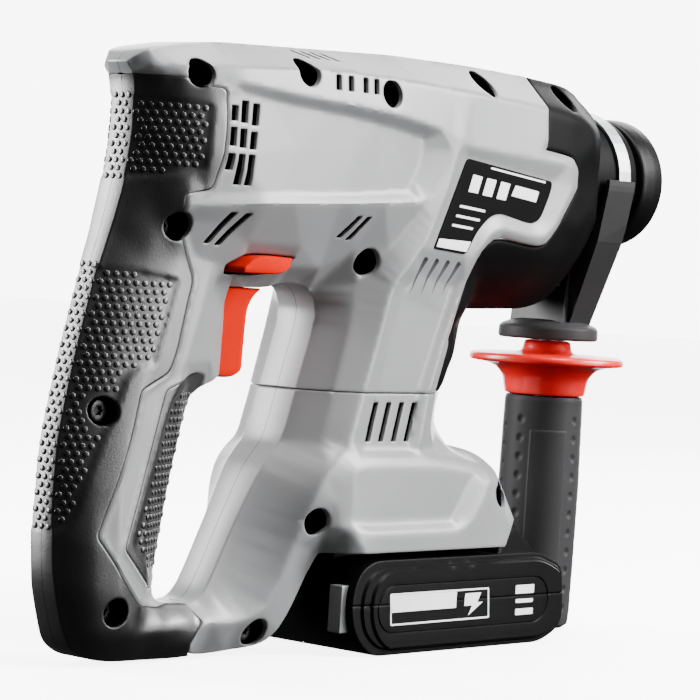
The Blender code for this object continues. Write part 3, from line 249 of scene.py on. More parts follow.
def distance(polygon, x, z, closed=True):
    """Distance of each point to a polyline."""
    best = np.full(len(x), 1e9)
    ends = polygon[1:] + polygon[:1] if closed else polygon[1:]
    for (ax, az, *_), (bx, bz, *_) in zip(polygon, ends):
        length = (bx - ax) ** 2 + (bz - az) ** 2
        t = np.clip(((x - ax) * (bx - ax) + (z - az) * (bz - az)) / max(length, 1e-12), 0, 1)
        best = np.minimum(best, np.hypot(x - ax - t * (bx - ax), z - az - t * (bz - az)))
    return best


def softened(path, reach=9.0, closed=True, sharp=50.0, corner=0.8, steps=5):
    """The path with each gentle corner drawn out into a curve, and each sharp one barely rounded."""
    flat = [Vector(p) for p in path]
    made = []
    for i, here in enumerate(flat):
        if not closed and i in (0, len(flat) - 1):
            made.append(tuple(here))
            continue
        before, after = flat[i - 1] - here, flat[(i + 1) % len(flat)] - here
        turn = 180 - math.degrees(before.xy.angle(after.xy, math.pi))
        size = reach if turn < sharp else corner
        start = here + before.normalized() * min(size, 0.46 * before.length)
        stop = here + after.normalized() * min(size, 0.46 * after.length)
        for k in range(steps + 1):
            t = k / steps
            made.append(tuple(start * (1 - t) ** 2 + here * 2 * t * (1 - t) + stop * t * t))
    return made


def circle(x, z, radius, count=28):
    turns = [2 * math.pi * k / count for k in range(count)]
    return [(x + radius * math.cos(t), z + radius * math.sin(t)) for t in turns]


def slot_shape(top, bottom, width, radius=0.7):
    """A slot between two points, cut square to X, with rounded corners."""
    (tx, tz), (bx, bz) = top, bottom
    half = width / 2
    corners = [(tx - half, tz), (bx - half, bz), (bx + half, bz), (tx + half, tz)]
    return softened(corners, corner=radius, steps=3)


def resampled(path, step, closed=True):
    """Points along a polyline no further apart than a step, with their heights where it has them."""
    ends = path[1:] + path[:1] if closed else path[1:]
    made = []
    for a, b in zip(path, ends):
        count = max(1, math.ceil(math.dist(a[:2], b[:2]) / step))
        made += [tuple(p + (q - p) * k / count for p, q in zip(a, b)) for k in range(count)]
    return made if closed else made + [tuple(path[-1])]


def outline(path, **shape):
    """The softened path in plan view, without its heights."""
    return softened([p[:2] for p in path], **shape)


def beside(path, offset, closed=True):
    """The path's points moved sideways by an offset."""
    made = []
    for i, (x, z) in enumerate(path):
        ax, az = path[i - 1] if closed or i else path[i]
        bx, bz = path[(i + 1) % len(path)] if closed or i + 1 < len(path) else path[i]
        size = math.hypot(bx - ax, bz - az) or 1.0
        made.append((x - (bz - az) / size * offset, z + (bx - ax) / size * offset))
    return made


# ---- height fields
def triangulated(loop, inner, creases):
    """Control points with half-widths, and the triangles between them."""
    points = [Vector(p[:2]) for p in loop]
    heights = [p[2] for p in loop]
    edges = [(i, (i + 1) % len(loop)) for i in range(len(loop))]
    for line in creases:
        for k, (x, z, h) in enumerate(line):
            points.append(Vector((x, z)))
            heights.append(h)
            if k:
                edges.append((len(points) - 2, len(points) - 1))
    for x, z, h in inner:
        points.append(Vector((x, z)))
        heights.append(h)
    out, _, faces, came, _, _ = delaunay_2d_cdt(points, edges, [], 1, 1e-4)
    known = [(p.x, p.y, heights[c[0]]) for p, c in zip(out, came) if c]
    field = []
    for p, c in zip(out, came):
        near = sorted(known, key=lambda k: (k[0] - p.x) ** 2 + (k[1] - p.y) ** 2)[:2]
        field.append((p.x, p.y, heights[c[0]] if c else (near[0][2] + near[1][2]) / 2))
    return field, [f for f in faces if len(f) == 3]


def blurred(grid, sigma):
    """Gaussian blur of a grid, by a distance in millimetres."""
    reach = max(1, int(3 * sigma / CELL))
    weights = np.exp(-0.5 * (np.arange(-reach, reach + 1) * CELL / sigma) ** 2)
    weights /= weights.sum()
    for axis in (0, 1):
        padded = np.pad(grid, [(reach, reach) if k == axis else (0, 0) for k in (0, 1)], mode="edge")
        total = np.zeros_like(grid)
        for k, weight in enumerate(weights):
            cut = [slice(None), slice(None)]
            cut[axis] = slice(k, k + grid.shape[axis])
            total += weight * padded[tuple(cut)]
        grid = total
    return grid


def spread(grid):
    """Fills the empty cells near the known ones with their neighbours' mean."""
    for _ in range(FILL_STEPS):
        empty = np.isnan(grid)
        total = np.zeros_like(grid)
        count = np.zeros_like(grid)
        for axis in (0, 1):
            for by in (-1, 1):
                moved = np.roll(grid, by, axis)
                known = ~np.isnan(moved)
                total[known] += moved[known]
                count += known
        fill = empty & (count > 0)
        grid = grid.copy()
        grid[fill] = total[fill] / count[fill]
    return np.where(np.isnan(grid), np.nanmean(grid), grid)


class Field:
    """Half-width of a housing over its side view."""

    def __init__(self, loop, inner, creases, blur, round_zone=None, step=5.0):
        self.loop = loop
        border = resampled(loop, step)
        lines = [resampled(softened(line, reach=5.0, closed=False), step, False) for line in creases]
        points, triangles = triangulated(border, inner, lines)
        flat = np.array([p[:2] for p in loop])
        self.low = flat.min(0) - MARGIN
        self.shape = tuple(np.ceil((flat.max(0) + MARGIN - self.low) / CELL).astype(int))
        self.grid = blurred(spread(self.raster(points, triangles, 1)), blur)
        if round_zone:
            rounder = np.sqrt(blurred(spread(self.raster(points, triangles, 2)), ROUND_BLUR))
            x, z = self.cells()
            share = contains(round_zone, x.ravel(), z.ravel()).reshape(self.shape).astype(float)
            share = blurred(share, ZONE_BLUR)
            self.grid = self.grid * (1 - share) + rounder * share

    def cells(self):
        x = self.low[0] + CELL * np.arange(self.shape[0])
        z = self.low[1] + CELL * np.arange(self.shape[1])
        return np.meshgrid(x, z, indexing="ij")

    def raster(self, points, triangles, power):
        grid = np.full(self.shape, np.nan)
        for corners in triangles:
            (ax, az, ah), (bx, bz, bh), (cx, cz, ch) = (points[i] for i in corners)
            area = (bx - ax) * (cz - az) - (cx - ax) * (bz - az)
            if abs(area) < 1e-9:
                continue
            lows = np.floor((np.array([min(ax, bx, cx), min(az, bz, cz)]) - self.low) / CELL).astype(int)
            highs = np.ceil((np.array([max(ax, bx, cx), max(az, bz, cz)]) - self.low) / CELL).astype(int) + 1
            i, k = np.mgrid[lows[0]:highs[0], lows[1]:highs[1]]
            x, z = self.low[0] + CELL * i, self.low[1] + CELL * k
            s = ((x - ax) * (cz - az) - (cx - ax) * (z - az)) / area
            t = ((bx - ax) * (z - az) - (x - ax) * (bz - az)) / area
            hit = (s > -1e-6) & (t > -1e-6) & (s + t < 1 + 1e-6)
            heights = ah**power + s * (bh**power - ah**power) + t * (ch**power - ah**power)
            grid[i[hit], k[hit]] = heights[hit]
        x, z = self.cells()
        outside = ~contains(self.loop, x.ravel(), z.ravel()).reshape(self.shape)
        grid[outside] = np.nan
        return grid

    def at(self, x, z):
        u = np.clip((np.asarray(x) - self.low[0]) / CELL, 0, self.shape[0] - 1.001)
        v = np.clip((np.asarray(z) - self.low[1]) / CELL, 0, self.shape[1] - 1.001)
        i, k = u.astype(int), v.astype(int)
        u, v = u - i, v - k
        g = self.grid
        low = g[i, k] * (1 - u) + g[i + 1, k] * u
        high = g[i, k + 1] * (1 - u) + g[i + 1, k + 1] * u
        return low * (1 - v) + high * v


class Flat:
    """A constant half-width."""

    def __init__(self, height):
        self.height = height

    def at(self, x, z):
        return np.full(np.shape(x), float(self.height))


# ---- objects
def in_metres(points):
    return [((x + SHIFT_X) * MM, y * MM, z * MM) for x, y, z in points]


def linked(name, data):
    made = bpy.data.objects.new(name, data)
    bpy.context.scene.collection.objects.link(made)
    return made


def piece(name, shape, look, slot=None, body="tool", nodes=(), sharp=35.0):
    """A visual piece from (points, faces). The slot argument is not used."""
    points, faces = shape
    slot = slot or look
    mesh = bpy.data.meshes.new(name)
    mesh.from_pydata(in_metres(points), [], [list(f) for f in faces])
    mesh.validate()
    mesh.shade_smooth()
    mesh.set_sharp_from_angle(angle=math.radians(sharp))
    mesh.materials.append(LOOKS[look])
    made = linked(name, mesh)
    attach(made, body)
    if nodes:
        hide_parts(*nodes)


def merged(parts):
    """Several (points, faces) as one."""
    points, faces = [], []
    for more, polygons in parts:
        base = len(points)
        points += [tuple(p) for p in more]
        faces += [[i + base for i in f] for f in polygons]
    return points, faces


def skin(field, side, keep, drop=(), holes=(), creases=(), step=1.3, edge=EDGE, relief=None, depth=2.5,
         floor=0.1):
    """One side of a moulded shell: a surface with rounded edges, and walls that turn inward at every edge.

    keep and drop are closed polygons. The surface lies inside all of keep and outside all of drop. The walls
    of keep[0] reach the parting plane, those of the rest go down by depth, and each hole is (polygon, depth).
    """
    borders = [(p, THROUGH if k == 0 else depth) for k, p in enumerate(keep)]
    borders += [(p, depth) for p in drop] + list(holes)
    away = list(drop) + [p for p, _ in holes]
    points, edges = [], []

    def draw(path, closed):
        first = len(points)
        points.extend(path)
        edges.extend((i, i + 1) for i in range(first, len(points) - 1))
        if closed:
            edges.append((len(points) - 1, first))

    loose = []
    for polygon, _ in borders:
        path = resampled(polygon, step)
        draw(path, True)
        for offset in (edge * 0.3, edge, edge * 2.2):
            loose += [(p, offset * 0.85) for sign in (-1, 1) for p in beside(path, sign * offset)]
    for line in creases:
        draw(resampled([p[:2] for p in line], step, False), False)
    corners = np.array([p[:2] for p in keep[0]])
    low, high = corners.min(0), corners.max(0)
    across = np.arange(low[0] + 0.31, high[0], step)
    gx, gz = np.meshgrid(across, np.arange(low[1] + 0.17, high[1], step))
    loose += [((x, z), edge * 2.2 + 0.5 * step) for x, z in zip(gx.ravel(), gz.ravel())]
    spot = np.array([p for p, _ in loose])
    gap = np.array([g for _, g in loose])
    good = inside_all(keep, away, spot[:, 0], spot[:, 1])
    spot, gap = spot[good], gap[good]
    near = np.min([distance(p, spot[:, 0], spot[:, 1]) for p, _ in borders], 0)
    far = near >= gap
    for line in creases:
        far &= distance(line, spot[:, 0], spot[:, 1], False) > 0.45 * step
    points += [tuple(p) for p in spot[far]]
    out, _, faces, _, _, _ = delaunay_2d_cdt([Vector(p) for p in points], edges, [], 1, 1e-3)
    flat = np.array([(p.x, p.y) for p in out])
    faces = np.array([f for f in faces if len(f) == 3])
    middle = flat[faces].mean(1)
    kept = inside_all(keep, away, middle[:, 0], middle[:, 1])
    return raised(field, side, flat, faces[kept], borders, edge, relief, floor)


def inside_all(keep, drop, x, z):
    good = np.ones(len(x), bool)
    for polygon in keep:
        good &= contains(polygon, x, z)
    for polygon in drop:
        good &= ~contains(polygon, x, z)
    return good


def raised(field, side, flat, faces, borders, edge, relief, floor):
    """Gives a flat mesh its height, rounds its edges and adds the walls."""
    used, place = np.unique(faces, return_inverse=True)
    flat, faces = flat[used], place.reshape(-1, 3)
    x, z = flat[:, 0], flat[:, 1]
    gaps = np.array([distance(p, x, z) for p, _ in borders])
    near = gaps.min(0)
    height = field.at(x, z)
    if relief is not None:
        height = height + relief(x, z)
    share = np.clip(1 - near / edge, 0, 1)
    height = height - edge * (1 - np.sqrt(1 - share**2))
    ends = np.concatenate([faces[:, [0, 1]], faces[:, [1, 2]], faces[:, [2, 0]]])
    count = len(flat)
    keys = ends[:, 0] * count + ends[:, 1]
    rim = ends[~np.isin(keys, ends[:, 1] * count + ends[:, 0])]
    around = np.unique(rim)
    depths = np.array([d for _, d in borders])[gaps[:, around].argmin(0)]
    lower = np.maximum(height[around] - depths, floor)
    points = [(a, side * h, b) for (a, b), h in zip(flat, height)]
    points += [(flat[i, 0], side * h, flat[i, 1]) for i, h in zip(around, lower)]
    index = {int(i): count + k for k, i in enumerate(around)}
    polygons = [tuple(int(i) for i in f) for f in faces]
    polygons += [(int(b), int(a), index[int(a)], index[int(b)]) for a, b in rim]
    if side > 0:
        polygons = [f[::-1] for f in polygons]
    return points, polygons


def slab(polygon, half, edge, step, relief=None):
    """A flat plate of a given outline, the same on both sides."""
    field = Flat(half)
    return merged([skin(field, side, [polygon], edge=edge, step=step, relief=relief, floor=0.0)
                   for side in (-1, 1)])


def turned(profile, axis, at, steps=72):
    """A lathe about an axis: profile points are (along, radius)."""
    points, faces, rings = [], [], []
    for along, radius in profile:
        ring = []
        count = 1 if radius < 1e-6 else steps
        for k in range(count):
            a = 2 * math.pi * k / steps
            c, s = radius * math.cos(a), radius * math.sin(a)
            x, y, z = at
            point = {"x": (along, y + c, z + s), "y": (x + s, along, z + c), "z": (x + c, y + s, along)}[axis]
            ring.append(len(points))
            points.append(point)
        rings.append(ring)
    for a, b in zip(rings, rings[1:]):
        for k in range(steps):
            quad = [a[k % len(a)], a[(k + 1) % len(a)], b[(k + 1) % len(b)], b[k % len(b)]]
            quad = list(dict.fromkeys(quad))
            if len(quad) > 2:
                faces.append(quad[::-1])
    return points, faces


def rounded_profile(corners, reach=0.6):
    """A lathe profile with its corners rounded."""
    return softened(corners, reach=reach, closed=False, sharp=181, steps=3)


# ---- looks
LOOKS = {}


def new_look(name, colour, rough, metal=0.0):
    """Registers a plain look under its name and returns what its finish is made with."""
    material = bpy.data.materials.new(f"{name}_look")
    LOOKS[name] = material
    material.use_nodes = True
    nodes = material.node_tree.nodes
    shader = nodes["Principled BSDF"]
    shader.inputs["Metallic"].default_value = metal
    shader.inputs["Roughness"].default_value = rough
    shader.inputs["Base Color"].default_value = (*colour, 1)
    return nodes, material.node_tree.links, shader


def scaled(colour, by):
    return [min(1, c * by) for c in colour]


def object_noise(nodes, links, scale, detail, stretch=(1, 1, 1)):
    place = nodes.new("ShaderNodeTexCoord")
    mapping = nodes.new("ShaderNodeMapping")
    mapping.inputs["Scale"].default_value = stretch
    noise = nodes.new("ShaderNodeTexNoise")
    noise.inputs["Scale"].default_value = scale
    noise.inputs["Detail"].default_value = detail
    links.new(place.outputs["Object"], mapping.inputs["Vector"])
    links.new(mapping.outputs["Vector"], noise.inputs["Vector"])
    return noise


def tinted(nodes, links, shader, noise, dark, light):
    ramp = nodes.new("ShaderNodeValToRGB")
    ramp.color_ramp.elements[0].position = 0.35
    ramp.color_ramp.elements[1].position = 0.65
    ramp.color_ramp.elements[0].color = (*dark, 1)
    ramp.color_ramp.elements[1].color = (*light, 1)
    links.new(noise.outputs["Fac"], ramp.inputs["Fac"])
    links.new(ramp.outputs["Color"], shader.inputs["Base Color"])


def roughened(nodes, links, shader, noise, low, high):
    span = nodes.new("ShaderNodeMapRange")
    span.inputs["To Min"].default_value = low
    span.inputs["To Max"].default_value = high
    links.new(noise.outputs["Fac"], span.inputs["Value"])
    links.new(span.outputs["Result"], shader.inputs["Roughness"])


def bumped(nodes, links, shader, noise, strength):
    bump = nodes.new("ShaderNodeBump")
    bump.inputs["Strength"].default_value = strength
    bump.inputs["Distance"].default_value = GRAIN_HEIGHT
    links.new(noise.outputs["Fac"], bump.inputs["Height"])
    links.new(bump.outputs["Normal"], shader.inputs["Normal"])


def moulded(name, colour, rough, grain=2600.0, bump=0.35, spread_by=0.06, coat=0.0, gloss=0.5):
    """Plastic or rubber: mottled colour, fine moulded grain and uneven gloss."""
    nodes, links, shader = new_look(name, colour, rough)
    broad = object_noise(nodes, links, 28.0, 4.0)
    tinted(nodes, links, shader, broad, scaled(colour, 1 - spread_by), scaled(colour, 1 + spread_by))
    fine = object_noise(nodes, links, grain, 2.0)
    roughened(nodes, links, shader, broad, rough - 0.05, rough + 0.06)
    bumped(nodes, links, shader, fine, bump)
    shader.inputs["Specular IOR Level"].default_value = gloss
    shader.inputs["Coat Weight"].default_value = coat
    shader.inputs["Coat Roughness"].default_value = 0.2


def brushed(name, colour, rough, stretch):
    """Metal with fine turning or drawing lines."""
    nodes, links, shader = new_look(name, colour, rough, 1.0)
    lines = object_noise(nodes, links, 60.0, 6.0, stretch)
    tinted(nodes, links, shader, lines, scaled(colour, 0.86), scaled(colour, 1.08))
    roughened(nodes, links, shader, lines, rough - 0.08, rough + 0.1)
    bumped(nodes, links, shader, lines, 0.15)


BLACK = (0.003, 0.003, 0.0033)
moulded("grey_plastic", (0.205, 0.207, 0.212), 0.34, spread_by=0.03)
moulded("black_plastic", BLACK, 0.38, grain=1700.0, bump=0.6, gloss=0.08)
moulded("matt_black", BLACK, 0.48, grain=1700.0, bump=0.6, gloss=0.04)
moulded("black_rubber", (0.002, 0.002, 0.0022), 0.35, grain=1500.0, bump=0.5, gloss=0.9)
moulded("red_gloss", (0.68, 0.005, 0.006), 0.3, bump=0.08, coat=0.1)
moulded("orange_plastic", (0.5, 0.006, 0.0001), 0.55, bump=0.2, gloss=0.0)
# lighter than the black rubber: painted sheen on the side grip and painted light on the bracket disc
moulded("black_with_painted_sheen", (0.03, 0.03, 0.031), 0.45, grain=1500.0, bump=0.5, gloss=0.05)
# lighter than the black plastic: painted light on the bracket's left-facing side, which the gear housing
# shades
moulded("black_with_painted_light", (0.016, 0.016, 0.0165), 0.4, grain=1700.0, bump=0.4, gloss=0.25)
moulded("board", (0.02, 0.16, 0.05), 0.45, grain=900.0)
moulded("cell_wrap", (0.05, 0.22, 0.45), 0.35, bump=0.1)
moulded("label", BLACK, 0.5, grain=3500.0, bump=0.15, gloss=0.02)
moulded("white_print", (0.85, 0.85, 0.85), 0.4, bump=0.1)
# flat black for the walls inside the vents and screw bores: painted shade, not the housing's own colour
moulded("painted_shade_lining", (0.002, 0.002, 0.002), 0.9, gloss=0.0)
brushed("steel", (0.56, 0.57, 0.59), 0.42, (40, 1, 1))
brushed("aluminium", (0.72, 0.72, 0.74), 0.38, (1, 40, 40))
brushed("stator_steel", (0.5, 0.3, 0.18), 0.4, (60, 1, 1))
brushed("black_steel", (0.03, 0.03, 0.032), 0.45, (40, 1, 1))


def dress_nodes():
    """Procedural finishes for the CAD nodes, by the slot that the record gives each."""
    for part in frame["record"]["subparts"]:
        node = frame["nodes"][part["node"]]
        node.data.materials.clear()
        node.data.materials.append(LOOKS[part["material_slot"]])


# ---- housings
BODY_LINES = [CHAMFER, BAND_LOWER, PANEL, STRIP_REAR, RIM]
LABEL_LINE = [(x, z, LABEL_HALF) for x, z in LABEL + LABEL[:1]]
COLUMN_LINES = [COLUMN_PANEL, COLUMN_FRONT, COLUMN_REAR]
BASE_LINES = [FOOT_PANEL, FOOT_RIM, FOOT_SHOULDER, FOOT_TOP, ARM_EDGE, *BASE_RIDGES]
UPPER_LINES = [*BODY_LINES, LABEL_LINE, *COLUMN_LINES, UNDER_EDGE]
UPPER = Field(UPPER_LOOP, UPPER_POINTS, UPPER_LINES, 0.4, RUBBER_ZONE)
BASE = Field(COVER_LOOP, BASE_POINTS, BASE_LINES, 0.8, step=2.5)
GEARS = Field(GEAR_LOOP, GEAR_POINTS, [GEAR_CREST, *GEAR_ROWS], 2.0, step=2.5)

UPPER_OUTLINE = outline(UPPER_LOOP)
BASE_OUTLINE = outline(COVER_LOOP)
GEAR_OUTLINE = outline(GEAR_LOOP)
RUBBER_OUTLINE = softened(RUBBER_ZONE, reach=3.0, corner=2.0)
INSERT_OUTLINE = softened(FRONT_INSERT, reach=3.0, corner=2.0)
LABEL_OUTLINE = softened(LABEL, reach=4.0, corner=2.2)
LEVER_OUTLINE = softened(LEVER_SLOT, corner=1.2)


def screw_mouths(names):
    return [(circle(*SCREWS[name], HOLE_RADIUS), MOUTH_DEPTH) for name in names]


def screw_tubes(field, names, word):
    """Bores below the mouths on the right side, down to the screw heads, in flat black: painted shade inside
    them.
    """
    parts = []
    for name in names:
        mouth = circle(*SCREWS[name], HOLE_RADIUS + 0.02)
        points = [(x, MOUTH_DEPTH - 0.1 - float(field.at(x, z)), z) for x, z in mouth]
        points += [(x, HEAD_HEIGHT - 0.1 - HEAD_Y, z) for x, z in mouth]
        count = len(mouth)
        ring = [(k, (k + 1) % count, count + (k + 1) % count, count + k) for k in range(count)]
        parts.append((points, ring + [tuple(range(count, 2 * count))]))
    piece(f"screw_bores_{word}", merged(parts), "painted_shade_lining", "black_plastic")


def rear_vents():
    """Three near-vertical columns of slots behind the motor."""
    columns = [
        ((-101.9, 208.4), (-104.6, 184.5), ((208.4, 202.8), (200.3, 193.4), (190.6, 184.5))),
        ((-96.9, 210.4), (-100.2, 179.2), ((210.4, 202.3), (200, 193), (190.6, 179.2))),
        ((-91.5, 209.7), (-95.5, 179.2), ((209.7, 201.6), (199.2, 192.7), (190.6, 179.2))),
    ]
    made = []
    for (tx, tz), (bx, bz), spans in columns:
        for high, low in spans:
            ends = [(tx + (bx - tx) * (tz - z) / (tz - bz), z) for z in (high, low)]
            made.append(slot_shape(*ends, 3.1, 0.4))
    return made


def side_vents():
    """Slanting pairs under the motor, short slots in the upper band, and fine ones in the top slope."""
    made = [
        slot_shape((-99.8, 169), (-107.3, 157), 2.9), slot_shape((-93, 169), (-101.9, 156.5), 2.9),
        slot_shape((-35, 171), (-41.6, 162.2), 2.6), slot_shape((-29.5, 171), (-36.2, 161.6), 2.6),
    ]
    for x in (-52, -45.5, -37.5, -31.5):
        made.append(slot_shape((x + 0.4, 224.0), (x - 0.2, 218.2), 2.5, 0.5))
    for x in (-64, -59, -54, -49):
        made.append(slot_shape((x, 232.2), (x + 5.5, 229.6), 1.5, 0.4))
    return made


def base_vents():
    return [slot_shape((-16.0 + 7.7 * k, 99.0), (-20.3 + 7.7 * k, 83.6), 2.7, 0.5) for k in range(4)]


GROOVES = [((3.6 + 6.8 * k, 157.0 - 0.4 * k), (-2.2 + 6.6 * k, 141.5)) for k in range(4)]


def upper_relief(x, z):
    """Raised lip beside the rubber, the bezel's rounded edge, and four tapering grooves under the label."""
    gap = np.minimum(distance(RUBBER_OUTLINE, x, z), distance(INSERT_OUTLINE, x, z))
    lip = 0.35 * np.exp(-(((gap - 1.3) / 0.55) ** 2)) * (x < -84)
    shoulder = np.clip(1 - distance(BEZEL_PATH[:12], x, z, False) / 5.0, 0, 1)
    total = lip - 1.9 * (1 - np.sqrt(1 - shoulder**2))
    for (tx, tz), (bx, bz) in GROOVES:
        share = np.clip((tz - z) / (tz - bz), 0, 1)
        off = np.abs(x - tx - (bx - tx) * share) / (GROOVE_HALF * (1.03 - share))
        rise = np.minimum(share / 0.12, 1 - share)
        total = total - GROOVE_DEPTH * rise * np.clip(1 - off, 0, 1) * (share > 0)
    return total


def groove_lines():
    """Middle and edges of each tapering groove, for the mesh to follow."""
    made = []
    for top, low in GROOVES:
        for by in (-1, 0, 1):
            made.append([(top[0] + by * GROOVE_HALF, top[1]), (low[0] + 0.04 * by, low[1])])
    return made


def upper_housing(side, word):
    holes = [(p, LIP) for p in rear_vents() + side_vents()]
    drop = [RUBBER_OUTLINE, INSERT_OUTLINE, LEVER_OUTLINE]
    if side < 0:
        holes += screw_mouths([n for n in UPPER_SCREWS if n not in ("grip_middle", "grip_lower")])
    else:
        drop.append(circle(KNOB_X, KNOB_Z, KNOB_HOLE, 64))
    creases = [*BODY_LINES, *COLUMN_LINES, LABEL_OUTLINE + LABEL_OUTLINE[:1], *groove_lines()]
    shape = skin(UPPER, side, [UPPER_OUTLINE], drop, holes, creases, relief=upper_relief, depth=4.0)
    piece(f"housing_{word}_shell", shape, "grey_plastic", nodes=[f"housing_{word}"])


def painted_shade_lining(name, field, side, border, drop):
    """Inner wall seen through the vents, in flat black: painted shade standing in for the shadow inside the
    housing.
    """
    inner = beside(resampled(border, 2.0), SHADE_LINING_INSET)
    shape = skin(field, side, [inner], drop, relief=lambda x, z: np.full(len(x), -SHADE_LINING_DEPTH), step=5.0)
    piece(name, shape, "painted_shade_lining", "black_plastic")


def recess(zones):
    """Relief that lowers the surface inside some polygons."""

    def relief(x, z):
        total = np.zeros(len(x))
        for zone in zones:
            gap = distance(zone, x, z)
            within = np.where(contains(zone, x, z), gap, -gap)
            total -= PATCH_DEPTH * np.clip(0.5 + within / PATCH_SLOPE, 0, 1)
        return total

    return relief


def grip_skin(name, side, word, zone, patches, holes=()):
    """Rubber that covers a zone of the housing, sunk where its studs stand."""
    shape = skin(UPPER, side, [UPPER_OUTLINE, zone], (), holes, [p + p[:1] for p in patches],
                 relief=recess(patches), edge=0.45)
    piece(f"{name}_{word}_skin", shape, "black_rubber", nodes=[f"{name}_{word}"])


def rubber_grips(side, word):
    rear = [softened(STUDS_UPPER, reach=2, corner=1.5), softened(STUDS_LOWER, reach=4, corner=1.5)]
    grip_skin("grip_rubber", side, word, RUBBER_OUTLINE, rear, screw_mouths(GRIP_SCREWS) if side < 0 else [])
    grip_skin("grip_front", side, word, INSERT_OUTLINE, [softened(STUDS_FRONT, reach=2, corner=1.5)])
    rows = [studs(side, STUDS_UPPER, REAR_PATH, 1, 178, 211), studs(side, STUDS_LOWER, REAR_PATH, 1, 50, 147),
            studs(side, STUDS_FRONT, FRONT_PATH, -1, 33, 104)]
    piece(f"grip_studs_{word}", merged(rows), "black_rubber", sharp=60)


def stud(centre, normal):
    """A low flat-topped disc on the surface."""
    centre, normal = Vector(centre), Vector(normal).normalized()
    one = normal.cross(Vector((0, 0, 1))).normalized()
    two = normal.cross(one)
    points = []
    for size, lift in ((1, -0.25), (0.96, 0.3), (0.78, STUD_HEIGHT)):
        for k in range(8):
            a = 2 * math.pi * k / 8
            out = (one * math.cos(a) + two * math.sin(a)) * STUD_RADIUS * size
            points.append(tuple(centre + out + normal * lift))
    points.append(tuple(centre + normal * STUD_HEIGHT))
    faces = [(ring + k, ring + (k + 1) % 8, ring + 8 + (k + 1) % 8, ring + 8 + k)
             for ring in (0, 8) for k in range(8)]
    return points, faces + [(16 + k, 16 + (k + 1) % 8, 24) for k in range(8)]


def studs(side, zone, edge_path, toward, low, high):
    """Rows of studs spaced evenly along the surface, starting at the parting plane on the outline."""
    path = np.array(outline(edge_path, closed=False))
    path = path[path[:, 1].argsort()]
    parts = []
    for row, z in enumerate(np.arange(low + 1.5, high, STUD_ROWS)):
        start = np.interp(z, path[:, 1], path[:, 0])
        x = start + toward * np.arange(0, 60, 0.1)
        h = UPPER.at(x, np.full(len(x), z)) - PATCH_DEPTH
        run = h[0] + np.concatenate([[0], np.cumsum(np.hypot(np.diff(x), np.diff(h)))])
        for along in np.arange(STUD_PITCH / 2 * (row % 2), run[-1], STUD_PITCH):
            if side > 0 and along < 0.1:
                continue
            if along < h[0] - 1.0:
                parts.append(stud((start, side * along, z), (-toward, 0, 0)))
                continue
            if along < h[0] + 1.0:
                continue
            k = int(np.searchsorted(run, along))
            here, level = np.array([x[min(k, len(x) - 1)]]), np.array([z])
            if not contains(zone, here, level)[0] or distance(zone, here, level)[0] < 1.3:
                continue
            if min(math.dist((here[0], z), SCREWS[n]) for n in GRIP_SCREWS) < 7.6:
                continue
            by = SLOPE_STEP
            slope_x = (UPPER.at(here + by, z) - UPPER.at(here - by, z))[0] / (2 * by)
            slope_z = (UPPER.at(here, z + by) - UPPER.at(here, z - by))[0] / (2 * by)
            height = UPPER.at(here, z)[0] - PATCH_DEPTH
            parts.append(stud((here[0], side * height, z), (-slope_x, side, -slope_z)))
    return merged(parts)


def base_housing(side, word):
    mouths = screw_mouths(BASE_SCREWS)
    holes = [(p, LIP) for p in base_vents()] + (mouths if side < 0 else [])
    shape = skin(BASE, side, [BASE_OUTLINE], (), holes, BASE_LINES, depth=4.0)
    piece(f"base_{word}_shell", shape, "grey_plastic", nodes=[f"base_{word}"])
    # inner wall in flat black: painted shade behind the vents
    painted_shade_lining(f"base_{word}_lining", BASE, side, BASE_OUTLINE, [p for p, _ in mouths])


def gear_housing():
    sides = []
    for side in (-1, 1):
        holes = screw_mouths(GEAR_SCREWS) if side < 0 else []
        sides.append(skin(GEARS, side, [GEAR_OUTLINE], (), holes, edge=0.8, floor=0.0))
    neck = [(117, 21.5), (117, 28.3), (145.2, 28.3), (146, 27.5), (146, 14.8), (140, 14.6)]
    sides.append(turned(rounded_profile(neck), "x", (0, 0, AXIS_Z), 96))
    piece("gear_housing_shell", merged(sides), "matt_black", "black_plastic", nodes=["gear_housing"])


def nameplate():
    """Printed plate, with bars and blocks where a plate has its print."""
    low, high = LABEL_HALF + 0.05, LABEL_HALF + 0.5
    inner = beside(resampled(LABEL_OUTLINE, 1.0), -0.4)
    shape = skin(Flat(high), -1, [inner], edge=0.2, step=2.5, floor=low)
    piece("nameplate_film", shape, "label", nodes=["nameplate"])
    marks = [
        [(8.4, 164.6), (28.2, 164.1), (25.6, 159.9), (7, 161.3)],
        [(54.5, 188.2), (70, 186.5), (68.4, 182), (52, 183.8)],
        [(20, 178.5), (36, 177.2), (35.7, 176.2), (19.6, 177.5)],
        [(18, 174.6), (33, 173.4), (32.6, 172.4), (17.6, 173.6)],
        [(16, 170.8), (29, 169.8), (28.6, 168.8), (15.6, 169.8)],
        [(38, 194.6), (74, 190.9), (73.8, 190.1), (37.8, 193.8)],
    ]
    for x, z in ((27, 191), (36, 190.1), (45, 189.2)):
        marks.append([(x, z), (x + 6, z - 0.6), (x + 3.5, z - 7.5), (x - 2.5, z - 7)])
    marks = [softened(mark, corner=0.3, steps=2) for mark in marks]
    parts = [skin(Flat(high + 0.06), -1, [mark], edge=0.05, step=3.0, floor=high) for mark in marks]
    piece("nameplate_marks", merged(parts), "white_print", "label")


